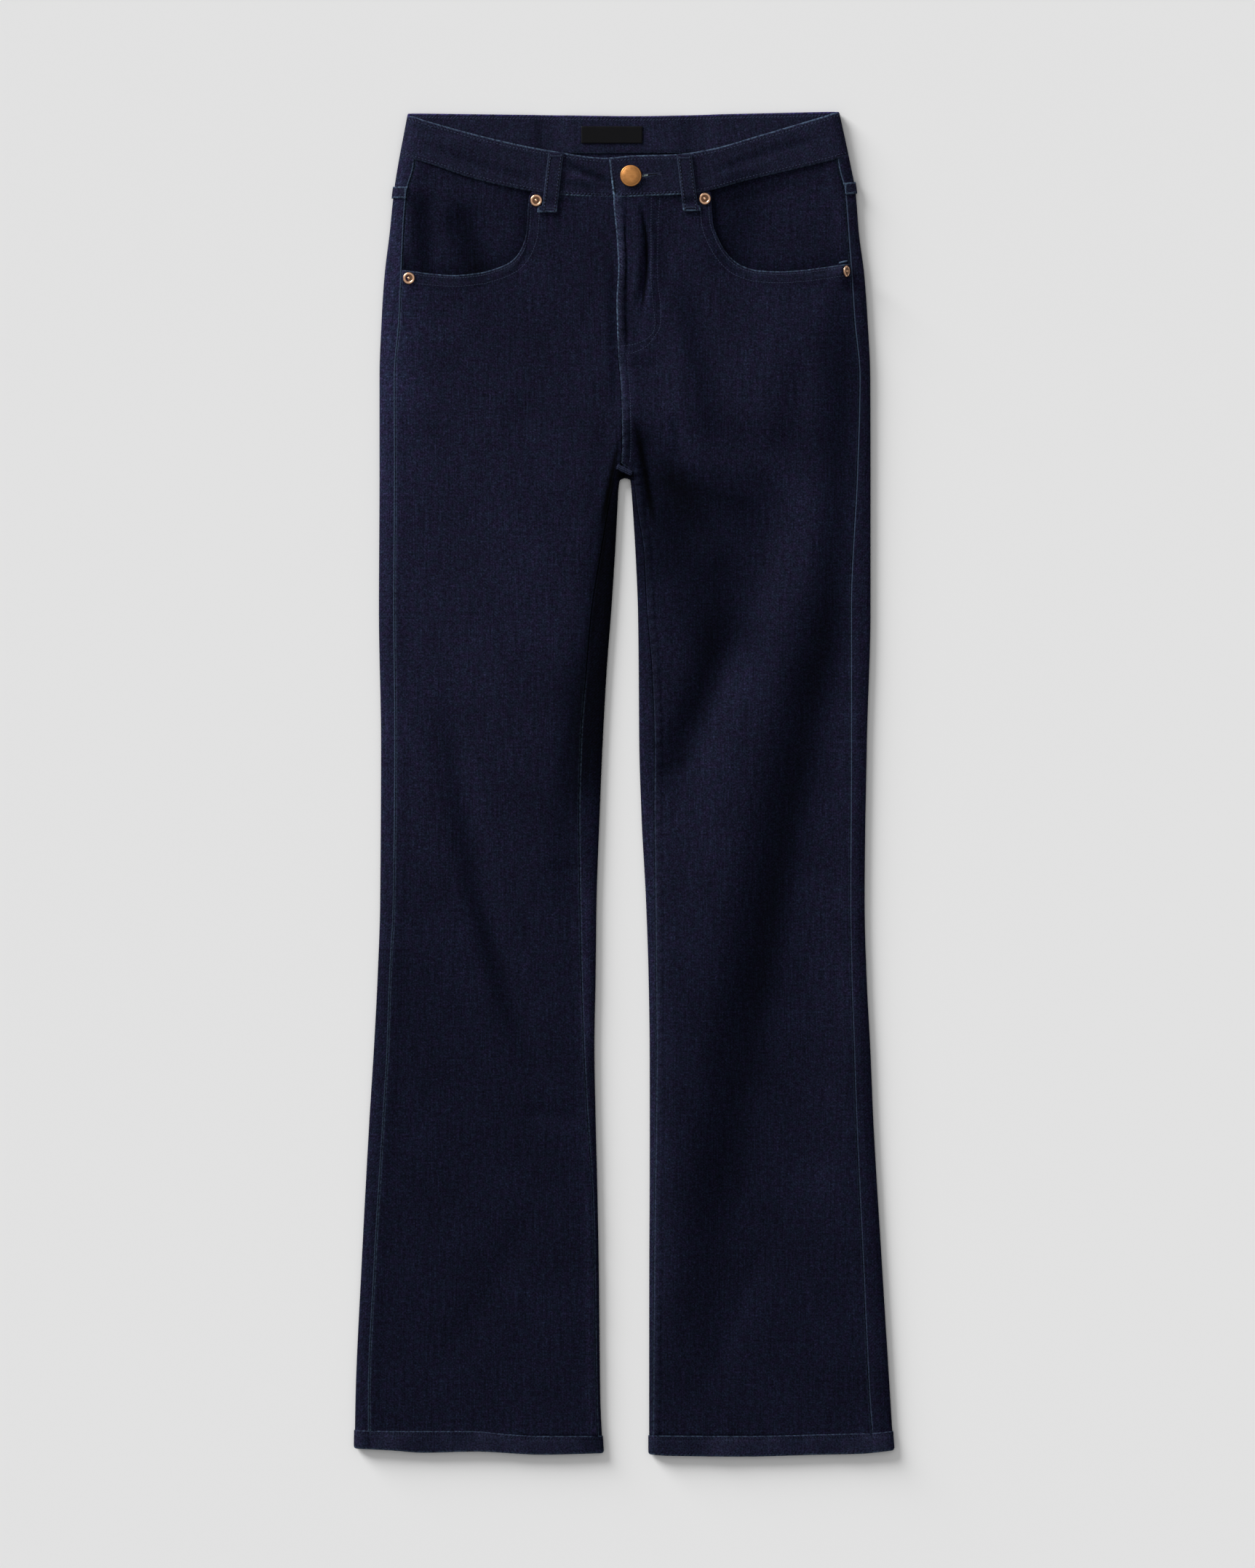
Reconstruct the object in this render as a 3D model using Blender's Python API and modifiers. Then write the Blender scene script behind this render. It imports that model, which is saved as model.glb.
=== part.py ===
"""Bootcut jeans laid flat on a surface, front side up.

The surface is z = 0. +Y runs from the hems to the waist and +X to the wearer's left, so the wearer's
right leg is at -X. The origin is under the middle of the laid garment. Sizes are in millimetres, and
MM turns them into metres when a mesh is made.

Each cloth piece is an open surface that Solidify thickens inwards. The front panels and the facings are
cut from flat outlines and raised onto one height field, top_height. The back panels and the yokes start
at the outseam on the top side, turn round the outer edge, lie on the surface, and end at the seat seam
or, on the legs, turn round the inner edge to the inseam.
"""

import math

import bmesh
import bpy
import numpy as np
from mathutils import Vector

MM = 0.001

# Cloth and gaps
CLOTH = 1.2
SEAM_GAP = 0.3
HALF_GAP = SEAM_GAP / 2
SEAM_ROOM = 0.22
BAND_CLOTH = 2.5
BAND_PROUD = 0.8
HEM_CLOTH = 2.2
HEM_PROUD = 0.5
HEM_WIDER = 0.7
HEM_STEPS = (0.0, 0.008, 0.03, 0.07, 0.16, 0.3, 0.45, 0.6, 0.75, 0.88, 0.95, 0.985, 1.0)
HEM_ANGLES = (35.0, 65.0, 90.0)
FACING_DROP = CLOTH + SEAM_GAP
ZIP_TAPE = 1.0

# Levels along the garment, measured up (+) and down (-) from its middle
CROTCH_FRONT = 257.4
CROTCH_CURL = 256.5
CROTCH_BACK = 253.5
HEM_TOP = -525.0
HEM_LOWEST = -541.5
YOKE_SEAM_SIDE = 476.0
YOKE_SEAM_CENTRE = 446.0
YOKE_SEAM_OUT = 182.0
YOKE_LEVEL = 500.0
FLY_BOTTOM = 352.0

# Fly: the wearer's left front laps over the right one
FLY_LAP = 8.0
FLY_LIFT = CLOTH + SEAM_GAP
FLY_LIFT_FLAT = 22.0
FLY_LIFT_END = 42.0
FLY_LIFT_RUN = (18.0, 12.0)
FLY_TOP = 468.0
SHIELD_SIZE = (44.0, 120.0)
SHIELD_CLOTH = 1.0
ZIP_SIZE = (26.0, 112.0)

# Waistband lap at the button
TAB_END_TOP = -12.3
TAB_END_LOW = -8.8
TAB_STEP = 1.4
TAB_FLAT = 42.0
TAB_FADE = 30.0
UNDER_LAP_END = 26.0
UNDER_LAP_START = -38.0
UNDER_LAP_RUN = 24.0

# Where the waistband turns round the sides
BAND_SIDE_LOW = 505.0
BAND_SIDE_TOP = 540.0
BAND_SIDE_OUT = 173.0
BAND_ACROSS = (0.0, 0.5, 1.0)
BAND_COUNTS = {"right": 13, "back": 26, "left": 14}

# Points across a back panel: over the outer edge, under it, across the lying side and up the inner edge
SEAM_STEPS = (1.0, 0.65, 0.32, 0.08, 0.0)
UNDER_ANGLES = (40.0, 90.0)
UNDER_COLUMNS = 6
YOKE_COLUMNS = 11
INNER_STEPS = (0.0, 0.1, 0.4, 1.0)
CURL_RISES = (0.0, 0.35, 0.7, 1.0)
CURL_HEIGHT = 0.9
FLAT_INNER = 12.0
NARROWEST_STRIP = 2.6
# The inseam gap widens by LOW_SEAM_ROOM as its strip narrows from WIDE_STRIP by STRIP_RUN
LOW_SEAM_ROOM = 0.4
WIDE_STRIP = 7.5
STRIP_RUN = 3.0

# Radius of the turn from the lying side up to the edge
UNDER_TURN = 3.5
BAND_UNDER_TURN = 4.2

# Folds die out over FOLD_EDGE at every edge of the laid garment, and over FOLD_TOP_RUN below FOLD_TOP
FOLD_EDGE = 26.0
FOLD_INNER_ROOM = 4.0
FOLD_TOP = 480.0
FOLD_TOP_RUN = 60.0

# Round metal pieces
BUTTON_RADIUS = 8.65
BUTTON_PLACE = (5.3, 489.3)
BUTTON_STEPS = 24
RIVET_RADIUS = 4.8
RIVET_STEPS = 14

# Loops, pockets and label
LOOP_WIDTH = 12.5
LOOP_CLOTH = 1.5
LOOP_ARCH = 0.5
LOOP_STEP_BELOW = 8.0
LOOP_STEP_RUN = 7.0
POCKET_CLOTH = 1.2
LABEL = {"x0": -34.6, "x1": 14.7, "y0": 515.7, "y1": 529.5, "thick": 0.5}
UNDER_MARGIN = 34.0
UNDER_RAMP = 15.0

# Colours, linear RGB
INDIGO = (0.026, 0.027, 0.055)
LABEL_BLACK = (0.01, 0.01, 0.012)
BRASS = (0.62, 0.38, 0.16)
ROSE_GOLD = (0.75, 0.42, 0.22)

# Side edges and outseams of the laid garment, measured across from the centre line
SIDES = (
    # y, outer_right, outseam_right, outseam_left, outer_left
    (542.0, -173.6, -168.5, 170.0, 172.8),
    (500.0, -181.8, -169.0, 172.0, 181.8),
    (476.0, -185.5, -175.0, 177.5, 186.2),
    (444.0, -188.8, -177.5, 180.0, 188.8),
    (409.0, -193.0, -179.0, 182.5, 193.3),
    (374.0, -195.3, -180.5, 184.8, 195.8),
    (327.0, -197.0, -184.2, 189.0, 198.0),
    (251.0, -197.0, -184.0, 187.0, 198.2),
    (139.0, -197.5, -184.5, 182.0, 198.2),
    (34.0, -195.8, -183.7, 182.0, 195.3),
    (-95.0, -196.5, -185.0, 181.5, 193.5),
    (-154.0, -198.5, -188.0, 182.5, 195.0),
    (-212.0, -201.5, -190.0, 184.5, 198.0),
    (-271.0, -205.2, -193.5, 186.5, 200.5),
    (-388.0, -211.5, -200.5, 192.0, 207.5),
    (-493.0, -216.3, -205.0, 197.0, 214.0),
    (-542.0, -217.1, -204.8, 201.0, 217.1),
)
# Inner edges and inseams of the two legs; the edges touch above the crotch
INNER = (
    # y, inseam_right, inner_right, inner_left, inseam_left
    (253.5, -6.3, -0.15, 0.15, 6.3),
    (247.5, -8.2, -0.6, 0.9, 7.4),
    (245.0, -8.8, -3.2, 4.3, 8.0),
    (238.0, -9.8, -4.6, 5.6, 8.6),
    (222.0, -12.8, -5.5, 6.8, 10.6),
    (186.0, -19.0, -7.4, 9.0, 16.0),
    (139.0, -26.5, -10.5, 11.0, 18.5),
    (93.0, -30.5, -14.0, 11.6, 22.5),
    (34.0, -35.0, -17.3, 12.0, 24.5),
    (-25.0, -36.5, -19.8, 13.8, 24.3),
    (-95.0, -35.7, -22.3, 17.5, 25.0),
    (-154.0, -34.5, -23.0, 19.5, 25.5),
    (-212.0, -32.5, -24.0, 20.4, 26.0),
    (-271.0, -29.5, -23.0, 20.5, 25.5),
    (-329.0, -25.5, -21.6, 20.4, 24.5),
    (-388.0, -24.0, -20.5, 20.1, 24.0),
    (-493.0, -22.5, -19.3, 20.0, 23.2),
    (-542.0, -20.5, -17.0, 20.0, 23.0),
)
# Centre front seam, which is the lapped edge of the fly above FLY_BOTTOM
CENTRE_FRONT = (
    # y, x
    (505.0, -9.4),
    (469.0, -8.8),
    (440.0, -6.2),
    (414.0, -5.0),
    (389.0, -6.3),
    (352.0, -5.3),
    (311.0, -2.4),
    (273.0, -1.8),
    (255.0, -3.0),
)
# How thick the laid garment is, and how wide each edge is rounded
LOFT = (
    # y, height, outer_right, inner_right, inner_left, outer_left
    (542.0, 8.4, 9.0, 8.0, 8.0, 9.0),
    (470.0, 8.0, 10.0, 8.0, 8.0, 12.0),
    (390.0, 7.6, 11.0, 9.0, 9.0, 13.0),
    (254.0, 7.2, 11.0, 10.0, 9.0, 13.0),
    (190.0, 7.0, 11.0, 24.0, 10.0, 12.0),
    (60.0, 6.8, 11.0, 27.0, 11.0, 11.0),
    (-60.0, 6.7, 11.0, 16.0, 11.0, 11.0),
    (-200.0, 6.6, 11.0, 10.0, 10.0, 11.0),
    (-542.0, 6.6, 9.0, 8.0, 8.0, 9.0),
)
# Ridges (rise > 0) and troughs (rise < 0) of the top side. Each runs from its lower or left end to its
# upper or right end, bows sideways to its right by bow, and falls away over the widths left and right.
FOLDS = (
    # name, x0, y0, x1, y1, bow, rise, left, right
    ("left_leg_long_ridge", 30.0, -500.0, 158.0, 262.0, -19.0, 6.0, 46.0, 27.0),
    ("left_thigh_valley", 28.0, -20.0, 132.0, 262.0, 9.0, -4.0, 34.0, 26.0),
    ("left_thigh_hollow", 30.0, 0.0, 99.0, 140.0, 4.0, -2.6, 15.0, 18.0),
    ("left_hip_bulge", 14.0, 318.0, 146.0, 308.0, 10.0, 5.0, 60.0, 30.0),
    ("left_hip_side", 150.0, 262.0, 148.0, 404.0, 0.0, 2.4, 50.0, 18.0),
    ("left_crotch_crease", 74.0, 180.0, 6.0, 296.0, -9.0, -3.4, 11.0, 20.0),
    ("left_fly_crease", 46.0, 250.0, 26.0, 334.0, -2.0, -1.6, 8.0, 11.0),
    ("right_thigh_plateau", -100.0, -60.0, -92.0, 330.0, 0.0, 3.0, 52.0, 42.0),
    ("right_leg_long_valley", -54.0, -266.0, -163.0, 118.0, -12.0, -2.4, 11.0, 15.0),
    ("right_hip_drag", -78.0, 292.0, -145.0, 380.0, 0.0, 1.3, 13.0, 14.0),
    ("right_knee_crease", -84.0, -263.0, -28.0, -268.0, 2.0, -1.2, 8.0, 8.0),
)
# Mouths of the two front pockets, from the waistband seam down and out to the outseam
POCKET_MOUTH = {
    -1: (
        # x, y
        (-76.4, 474.0),
        (-77.4, 463.5),
        (-78.6, 444.5),
        (-82.6, 431.3),
        (-90.2, 421.3),
        (-102.6, 415.2),
        (-117.2, 411.4),
        (-137.1, 409.6),
        (-155.3, 410.8),
        (-170.5, 412.8),
    ),
    1: (
        # x, y
        (70.2, 476.0),
        (70.3, 466.0),
        (71.2, 453.0),
        (75.6, 439.5),
        (83.8, 426.0),
        (94.3, 417.4),
        (107.8, 413.4),
        (124.2, 412.5),
        (144.2, 413.7),
        (164.1, 416.4),
        (175.2, 417.8),
    ),
}
MOUTH_END = {-1: 413.8, 1: 418.4}
MOUTH_UNDERLAY = 13.0
# Waistband edges: on the top side they dip at the centre front, on the lying side they are nearly straight
BAND_FRONT_TOP = (
    # x, y
    (-173.5, 538.0),
    (-137.0, 527.4),
    (-100.0, 518.0),
    (-63.0, 510.4),
    (-13.5, 504.0),
    (7.0, 505.8),
    (40.0, 506.6),
    (67.5, 510.6),
    (111.0, 522.7),
    (150.5, 534.4),
    (172.5, 540.8),
)
BAND_FRONT_LOW = (
    # x, y
    (-181.0, 505.0),
    (-161.5, 500.4),
    (-125.0, 488.2),
    (-100.0, 481.8),
    (-75.0, 477.0),
    (-50.0, 473.8),
    (-9.0, 472.0),
    (26.0, 474.3),
    (62.0, 476.4),
    (97.0, 485.2),
    (137.0, 494.6),
    (180.5, 505.0),
)
BAND_BACK_TOP = (
    # x, y
    (-174.0, 540.0),
    (-60.0, 538.6),
    (10.0, 537.8),
    (90.0, 539.6),
    (172.5, 541.4),
)
BAND_BACK_LOW = (
    # x, y
    (-181.0, 505.0),
    (-60.0, 507.2),
    (10.0, 507.6),
    (90.0, 507.4),
    (180.5, 505.0),
)
# Belt loops: centre of the upper and of the lower end
LOOPS = (
    # name, x_top, y_top, x_low, y_low, top_side
    ("belt_loop_front_right", -54.8, 508.2, -60.4, 460.0, True),
    ("belt_loop_front_left", 48.2, 506.6, 53.6, 461.0, True),
    ("belt_loop_side_right", -118.0, 538.0, -119.5, 488.0, False),
    ("belt_loop_side_left", 118.0, 538.6, 119.5, 488.0, False),
    ("belt_loop_back", 0.0, 537.0, 0.0, 487.0, False),
)
# Patch pockets on the seat, corners measured out from the seat seam
BACK_POCKET = (
    # out, y
    (26.0, 424.0),
    (152.0, 434.0),
    (147.0, 312.0),
    (90.0, 290.0),
    (34.0, 303.0),
)
# Lower edges of the two hems, which hang a little unevenly
HEM_EDGE = {
    -1: (
        # x, y
        (-217.0, -535.0),
        (-190.0, -536.3),
        (-161.0, -538.3),
        (-120.0, -537.4),
        (-67.0, -539.9),
        (-17.0, -538.8),
    ),
    1: (
        # x, y
        (20.0, -539.7),
        (36.0, -540.9),
        (96.0, HEM_LOWEST),
        (150.0, -540.1),
        (190.0, -539.2),
        (217.0, -536.5),
    ),
}
# Rivets: place, tilt towards +X in degrees
RIVETS = (
    # name, x, y, tilt
    ("rivet_1", -70.8, 469.6, 0.0),
    ("rivet_2", -173.2, 407.0, -4.0),
    ("rivet_3", 64.9, 471.0, 0.0),
    ("rivet_4", 179.2, 413.3, 38.0),
)
# The corner of the left pocket mouth stands up in a short ridge under its rivet
CORNER_RIDGE = {"x": 174.6, "y": 414.0, "rise": 4.6, "across": 6.0, "along": 12.0}
CORNER_WINDOW = ((168.0, 402.0), (186.0, 424.0), 3.6)


def clamp(value, low=0.0, high=1.0):
    return min(max(value, low), high)


def ease(value):
    """0 below 0, 1 above 1, and a smooth step between."""
    t = clamp(value)
    return t * t * (3.0 - 2.0 * t)


def smooth_curve(rows, column=1):
    """A function through (t, value) rows, smooth, with no overshoot between two rows."""
    rows = sorted(rows)
    t = np.array([row[0] for row in rows])
    v = np.array([row[column] for row in rows])
    slope = np.diff(v) / np.diff(t)
    tangent = np.zeros(len(v))
    tangent[0], tangent[-1] = slope[0], slope[-1]
    for i in range(1, len(v) - 1):
        if slope[i - 1] * slope[i] > 0.0:
            tangent[i] = 2.0 * slope[i - 1] * slope[i] / (slope[i - 1] + slope[i])

    def at(x):
        x = clamp(x, t[0], t[-1])
        i = int(clamp(np.searchsorted(t, x, side="right") - 1, 0, len(t) - 2))
        step = t[i + 1] - t[i]
        u = (x - t[i]) / step
        start = (1.0 + 2.0 * u) * (1.0 - u) ** 2 * v[i] + u * (1.0 - u) ** 2 * step * tangent[i]
        end = u * u * (3.0 - 2.0 * u) * v[i + 1] - u * u * (1.0 - u) * step * tangent[i + 1]
        return float(start + end)

    return at


OUTER = {-1: smooth_curve(SIDES, 1), 1: smooth_curve(SIDES, 4)}
OUTSEAM = {-1: smooth_curve(SIDES, 2), 1: smooth_curve(SIDES, 3)}
INSEAM = {-1: smooth_curve(INNER, 1), 1: smooth_curve(INNER, 4)}
INNER_EDGE = {-1: smooth_curve(INNER, 2), 1: smooth_curve(INNER, 3)}
CENTRE = smooth_curve(CENTRE_FRONT)
HEIGHT = smooth_curve(LOFT, 1)
OUTER_ROUND = {-1: smooth_curve(LOFT, 2), 1: smooth_curve(LOFT, 5)}
INNER_ROUND = {-1: smooth_curve(LOFT, 3), 1: smooth_curve(LOFT, 4)}
FRONT_TOP = smooth_curve(BAND_FRONT_TOP)
FRONT_LOW = smooth_curve(BAND_FRONT_LOW)
BACK_TOP = smooth_curve(BAND_BACK_TOP)
BACK_LOW = smooth_curve(BAND_BACK_LOW)
HEM_LOW = {side: smooth_curve(HEM_EDGE[side]) for side in (-1, 1)}


def quarter_turn(angle):
    """How far in and how far down a point lies on a quarter turn of radius 1, by its angle in degrees."""
    return 1.0 - math.cos(math.radians(angle)), math.sin(math.radians(angle))


def round_over(distance, width):
    """Quarter of an ellipse: 0 at an edge, 1 from width inwards."""
    q = 1.0 - clamp(distance / width)
    return math.sqrt(1.0 - q * q)


def fold_height(x, y):
    """Sum of the ridges and troughs at a point of the top side."""
    total = 0.0
    for _, x0, y0, x1, y1, bow, rise, left, right in FOLDS:
        length = math.hypot(x1 - x0, y1 - y0)
        along_x, along_y = (x1 - x0) / length, (y1 - y0) / length
        t = ((x - x0) * along_x + (y - y0) * along_y) / length
        if not 0.0 < t < 1.0:
            continue
        side = (x - x0) * along_y - (y - y0) * along_x - 4.0 * bow * t * (1.0 - t)
        q = side / (right if side > 0.0 else left)
        taper = ease(t / 0.25) * ease((1.0 - t) / 0.25)
        total += rise * taper * math.exp(-q * q)
    return total


def inner_distance(x, y, side):
    """How far a point is from the inner edge of its leg, or from the top of the gap between the legs."""
    edge_y = min(y, CROTCH_BACK)
    across = max(0.0, side * (x - INNER_EDGE[side](edge_y)))
    return math.hypot(across, y - edge_y)


def top_height(x, y):
    """Height of the outer face of the top side."""
    side = 1 if x > CENTRE(y) else -1
    outer = max(0.0, side * (OUTER[side](y) - x))
    inner = inner_distance(x, y, side)
    height = HEIGHT(y)
    rounded = round_over(outer, OUTER_ROUND[side](y)) * round_over(inner, INNER_ROUND[side](y))
    fade = ease(outer / FOLD_EDGE) * ease((inner + FOLD_INNER_ROOM) / FOLD_EDGE)
    fade *= ease((FOLD_TOP - y) / FOLD_TOP_RUN)
    return height / 2.0 + height / 2.0 * rounded + fade * fold_height(x, y)


def rectangle_distance(x, y, low, high):
    """Distance from a point to an upright rectangle, 0 inside it."""
    return math.hypot(max(low[0] - x, x - high[0], 0.0), max(low[1] - y, y - high[1], 0.0))


def under_lift(x, y):
    """How far the lying side is held off the surface by what is sewn under it."""
    lifts = []
    for _, x_top, y_top, x_low, y_low, top_side in LOOPS:
        if not top_side:
            low = (min(x_top, x_low) - LOOP_WIDTH / 2, y_low)
            high = (max(x_top, x_low) + LOOP_WIDTH / 2, y_top)
            lifts.append((LOOP_CLOTH + SEAM_GAP, rectangle_distance(x, y, low, high)))
    outs = [out for out, _ in BACK_POCKET]
    ys = [pocket_y for _, pocket_y in BACK_POCKET]
    distance = rectangle_distance(abs(x), y, (min(outs), min(ys)), (max(outs), max(ys)))
    lifts.append((POCKET_CLOTH + SEAM_GAP, distance))
    return max(lift * ease(1.0 - (gap - UNDER_MARGIN) / UNDER_RAMP) for lift, gap in lifts)


def corner_ridge(x, y):
    """The short ridge at the corner of the left pocket mouth."""
    across = (x - CORNER_RIDGE["x"]) / CORNER_RIDGE["across"]
    along = (y - CORNER_RIDGE["y"]) / CORNER_RIDGE["along"]
    at_seam = ease((OUTSEAM[1](y) - x) / 3.0)
    return CORNER_RIDGE["rise"] * math.exp(-across * across - along * along) * at_seam


def fly_lift(x, y):
    """How far the left front is raised where it laps over the right one."""
    across = ease(1.0 - (x - CENTRE(y) - FLY_LIFT_FLAT) / (FLY_LIFT_END - FLY_LIFT_FLAT))
    start, run = FLY_LIFT_RUN
    return FLY_LIFT * across * ease((y - FLY_BOTTOM + start) / run)


def collection_named(name):
    collection = bpy.data.collections.new(name)
    bpy.context.scene.collection.children.link(collection)
    return collection


def make_material(name, colour, roughness, metallic=0.0):
    material = bpy.data.materials.new(name)
    material.use_nodes = True
    shader = material.node_tree.nodes["Principled BSDF"]
    shader.inputs["Base Color"].default_value = (*colour, 1.0)
    shader.inputs["Roughness"].default_value = roughness
    shader.inputs["Metallic"].default_value = metallic
    material.diffuse_color = (*colour, 1.0)
    return material


def add_object(name, mesh, material, collection, smooth=True):
    obj = bpy.data.objects.new(name, mesh)
    mesh.materials.append(material)
    if smooth:
        mesh.shade_smooth()
    collection.objects.link(obj)
    return obj


def thicken(obj, thickness):
    """A wall grown inwards from the outer face."""
    wall = obj.modifiers.new("wall", "SOLIDIFY")
    wall.thickness = thickness * MM
    wall.offset = -1.0
    return obj


def loft(name, rows, material, collection, thickness, closed=False, flip=False):
    """A wall over a grid of points. Its faces point up where the first row is the farther one (+Y) and
    each row runs from the wearer's right to left (+X); flip turns them the other way."""
    if flip:
        rows = [row[::-1] for row in rows]
    count = len(rows[0])
    bm = bmesh.new()
    bmesh.ops.create_grid(bm, x_segments=count - 1, y_segments=len(rows) - 1, size=1.0)
    bm.verts.ensure_lookup_table()
    order = sorted(bm.verts, key=lambda vert: (-round(vert.co.y, 4), round(vert.co.x, 4)))
    for vert, point in zip(order, [point for row in rows for point in row]):
        vert.co = Vector(point) * MM
    if closed:
        bmesh.ops.remove_doubles(bm, verts=bm.verts, dist=0.01 * MM)
    mesh = bpy.data.meshes.new(name)
    bm.to_mesh(mesh)
    bm.free()
    return thicken(add_object(name, mesh, material, collection), thickness)


def panel(name, outline, height, material, collection, thickness, cuts_x, cuts_y, fine=None):
    """A wall cut from a flat outline, crossed by grid lines and raised by height(x, y).

    fine is a window (low corner, high corner, step) that is crossed by closer lines."""
    bm = bmesh.new()
    corners = [bm.verts.new((x * MM, y * MM, 0.0)) for x, y in outline]
    face = bm.faces.new(corners)
    face.normal_update()
    if face.normal.z < 0.0:
        face.normal_flip()

    def cut(geometry, place, normal):
        bmesh.ops.bisect_plane(
            bm, geom=geometry, dist=0.02 * MM, plane_co=Vector(place) * MM, plane_no=normal
        )

    for x in cuts_x:
        cut(bm.verts[:] + bm.edges[:] + bm.faces[:], (x, 0.0, 0.0), (1.0, 0.0, 0.0))
    for y in cuts_y:
        cut(bm.verts[:] + bm.edges[:] + bm.faces[:], (0.0, y, 0.0), (0.0, 1.0, 0.0))
    if fine:
        low, high, step = fine
        lines = [((x, 0.0, 0.0), (1.0, 0.0, 0.0)) for x in np.arange(low[0], high[0], step)]
        lines += [((0.0, y, 0.0), (0.0, 1.0, 0.0)) for y in np.arange(low[1], high[1], step)]
        for place, normal in lines:
            near = []
            for piece in bm.faces:
                middle = piece.calc_center_median() / MM
                if low[0] - step < middle.x < high[0] + step and low[1] - step < middle.y < high[1] + step:
                    near.append(piece)
            edges = {edge for piece in near for edge in piece.edges}
            verts = {vert for piece in near for vert in piece.verts}
            cut(list(verts) + list(edges) + near, place, normal)
    bmesh.ops.remove_doubles(bm, verts=bm.verts, dist=0.2 * MM)
    for vert in bm.verts:
        vert.co.z = height(vert.co.x / MM, vert.co.y / MM) * MM
    bmesh.ops.triangulate(bm, faces=bm.faces)
    mesh = bpy.data.meshes.new(name)
    bm.to_mesh(mesh)
    bm.free()
    return thicken(add_object(name, mesh, material, collection), thickness)


def turned(name, profile, steps, material, collection):
    """A round piece from (radius, height) rows that run down its outer side."""
    bm = bmesh.new()
    points = [bm.verts.new((radius * MM, 0.0, height * MM)) for radius, height in profile]
    for upper, lower in zip(points, points[1:]):
        bm.edges.new((upper, lower))
    mesh = bpy.data.meshes.new(name)
    bm.to_mesh(mesh)
    bm.free()
    obj = add_object(name, mesh, material, collection)
    screw = obj.modifiers.new("turn", "SCREW")
    screw.axis = "Z"
    screw.steps = steps
    screw.render_steps = steps
    screw.use_merge_vertices = True
    screw.merge_threshold = 0.02 * MM
    return obj


def spaced(start, end, step):
    """Levels from start to end, evenly spaced by about step."""
    count = max(1, round(abs(end - start) / step))
    return [start + (end - start) * i / count for i in range(count + 1)]


def along(points, step):
    """Points about step apart on a smooth line through points."""
    lengths = [0.0]
    for (x0, y0), (x1, y1) in zip(points, points[1:]):
        lengths.append(lengths[-1] + math.hypot(x1 - x0, y1 - y0))
    x_at = smooth_curve([(s, p[0]) for s, p in zip(lengths, points)])
    y_at = smooth_curve([(s, p[1]) for s, p in zip(lengths, points)])
    return [(x_at(s), y_at(s)) for s in spaced(0.0, lengths[-1], step)]


def centre_edge(side, y):
    """Where a front panel ends at the centre front seam or under the fly lap."""
    if side > 0:
        return CENTRE(y) + HALF_GAP
    return CENTRE(y) - HALF_GAP + (FLY_LAP if y > FLY_BOTTOM - 1.0 else 0.0)


# Levels at which the long seams have their points, the same on the front and on the back
SEAT_STRAIGHT = 380.0
SEAT_LOW = 270.0
SEAT_LEVELS = spaced(YOKE_SEAM_SIDE - HALF_GAP, SEAT_STRAIGHT, 24.0)
SEAT_LEVELS += spaced(SEAT_STRAIGHT, SEAT_LOW, 22.0)[1:]
CROTCH_LEVELS = [CROTCH_CURL, CROTCH_BACK, 248.0, 245.0, 238.0]
LEG_LEVELS = spaced(222.0, HEM_TOP + HALF_GAP, 45.0)
FRONT_SEAM_LEVELS = [CROTCH_FRONT, 273.0, 292.0, 311.0, 331.0, FLY_BOTTOM - 1.5, FLY_BOTTOM]
FRONT_SEAM_LEVELS += [370.0, 389.0, 402.0, 414.0, 427.0, 440.0, 455.0]


def front_outline(side):
    """Outline of a front panel: outseam, hem, inseam, centre front, waistband seam, pocket mouth."""
    mouth = along(POCKET_MOUTH[side], 9.0)
    seam_levels = [y for y in SEAT_LEVELS + CROTCH_LEVELS + LEG_LEVELS if y < MOUTH_END[side] - 6.0]
    outline = [(OUTSEAM[side](y) - side * SEAM_ROOM, y) for y in [MOUTH_END[side], *seam_levels]]
    for y in reversed([y for y in seam_levels if y < CROTCH_BACK - 1.0]):
        outline.append((inseam_place(side, y) + side * inseam_room(side, y), y))
    outline.append((INSEAM[side](CROTCH_BACK) + side * 2.0 * SEAM_GAP, CROTCH_BACK + 0.8))
    for y in FRONT_SEAM_LEVELS:
        outline.append((centre_edge(side, y), y))
    for x in spaced(centre_edge(side, FLY_TOP + 1.0), mouth[0][0], 12.0):
        outline.append((x, FRONT_LOW(x) - HALF_GAP))
    outline += mouth[1:]
    return outline


def grid_lines_x(side):
    return [side * x for x in np.arange(8.0, 216.0, 14.0)]


GRID_Y = [*np.arange(460.0, 356.0, -20.0), 350.5, 341.0, *np.arange(322.0, 230.0, -20.0)]
GRID_Y += list(np.arange(206.0, HEM_TOP, -38.0))


def left_front_height(x, y):
    """Height of the left front's outer face, raised over the right front at the fly."""
    return top_height(x, y) + fly_lift(x, y) + corner_ridge(x, y)


def build_fronts(denim, jeans):
    right, left = front_outline(-1), front_outline(1)
    panel("front_right", right, top_height, denim, jeans, CLOTH, grid_lines_x(-1), GRID_Y)
    panel("front_left", left, left_front_height, denim, jeans, CLOTH, grid_lines_x(1), GRID_Y, CORNER_WINDOW)


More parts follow.
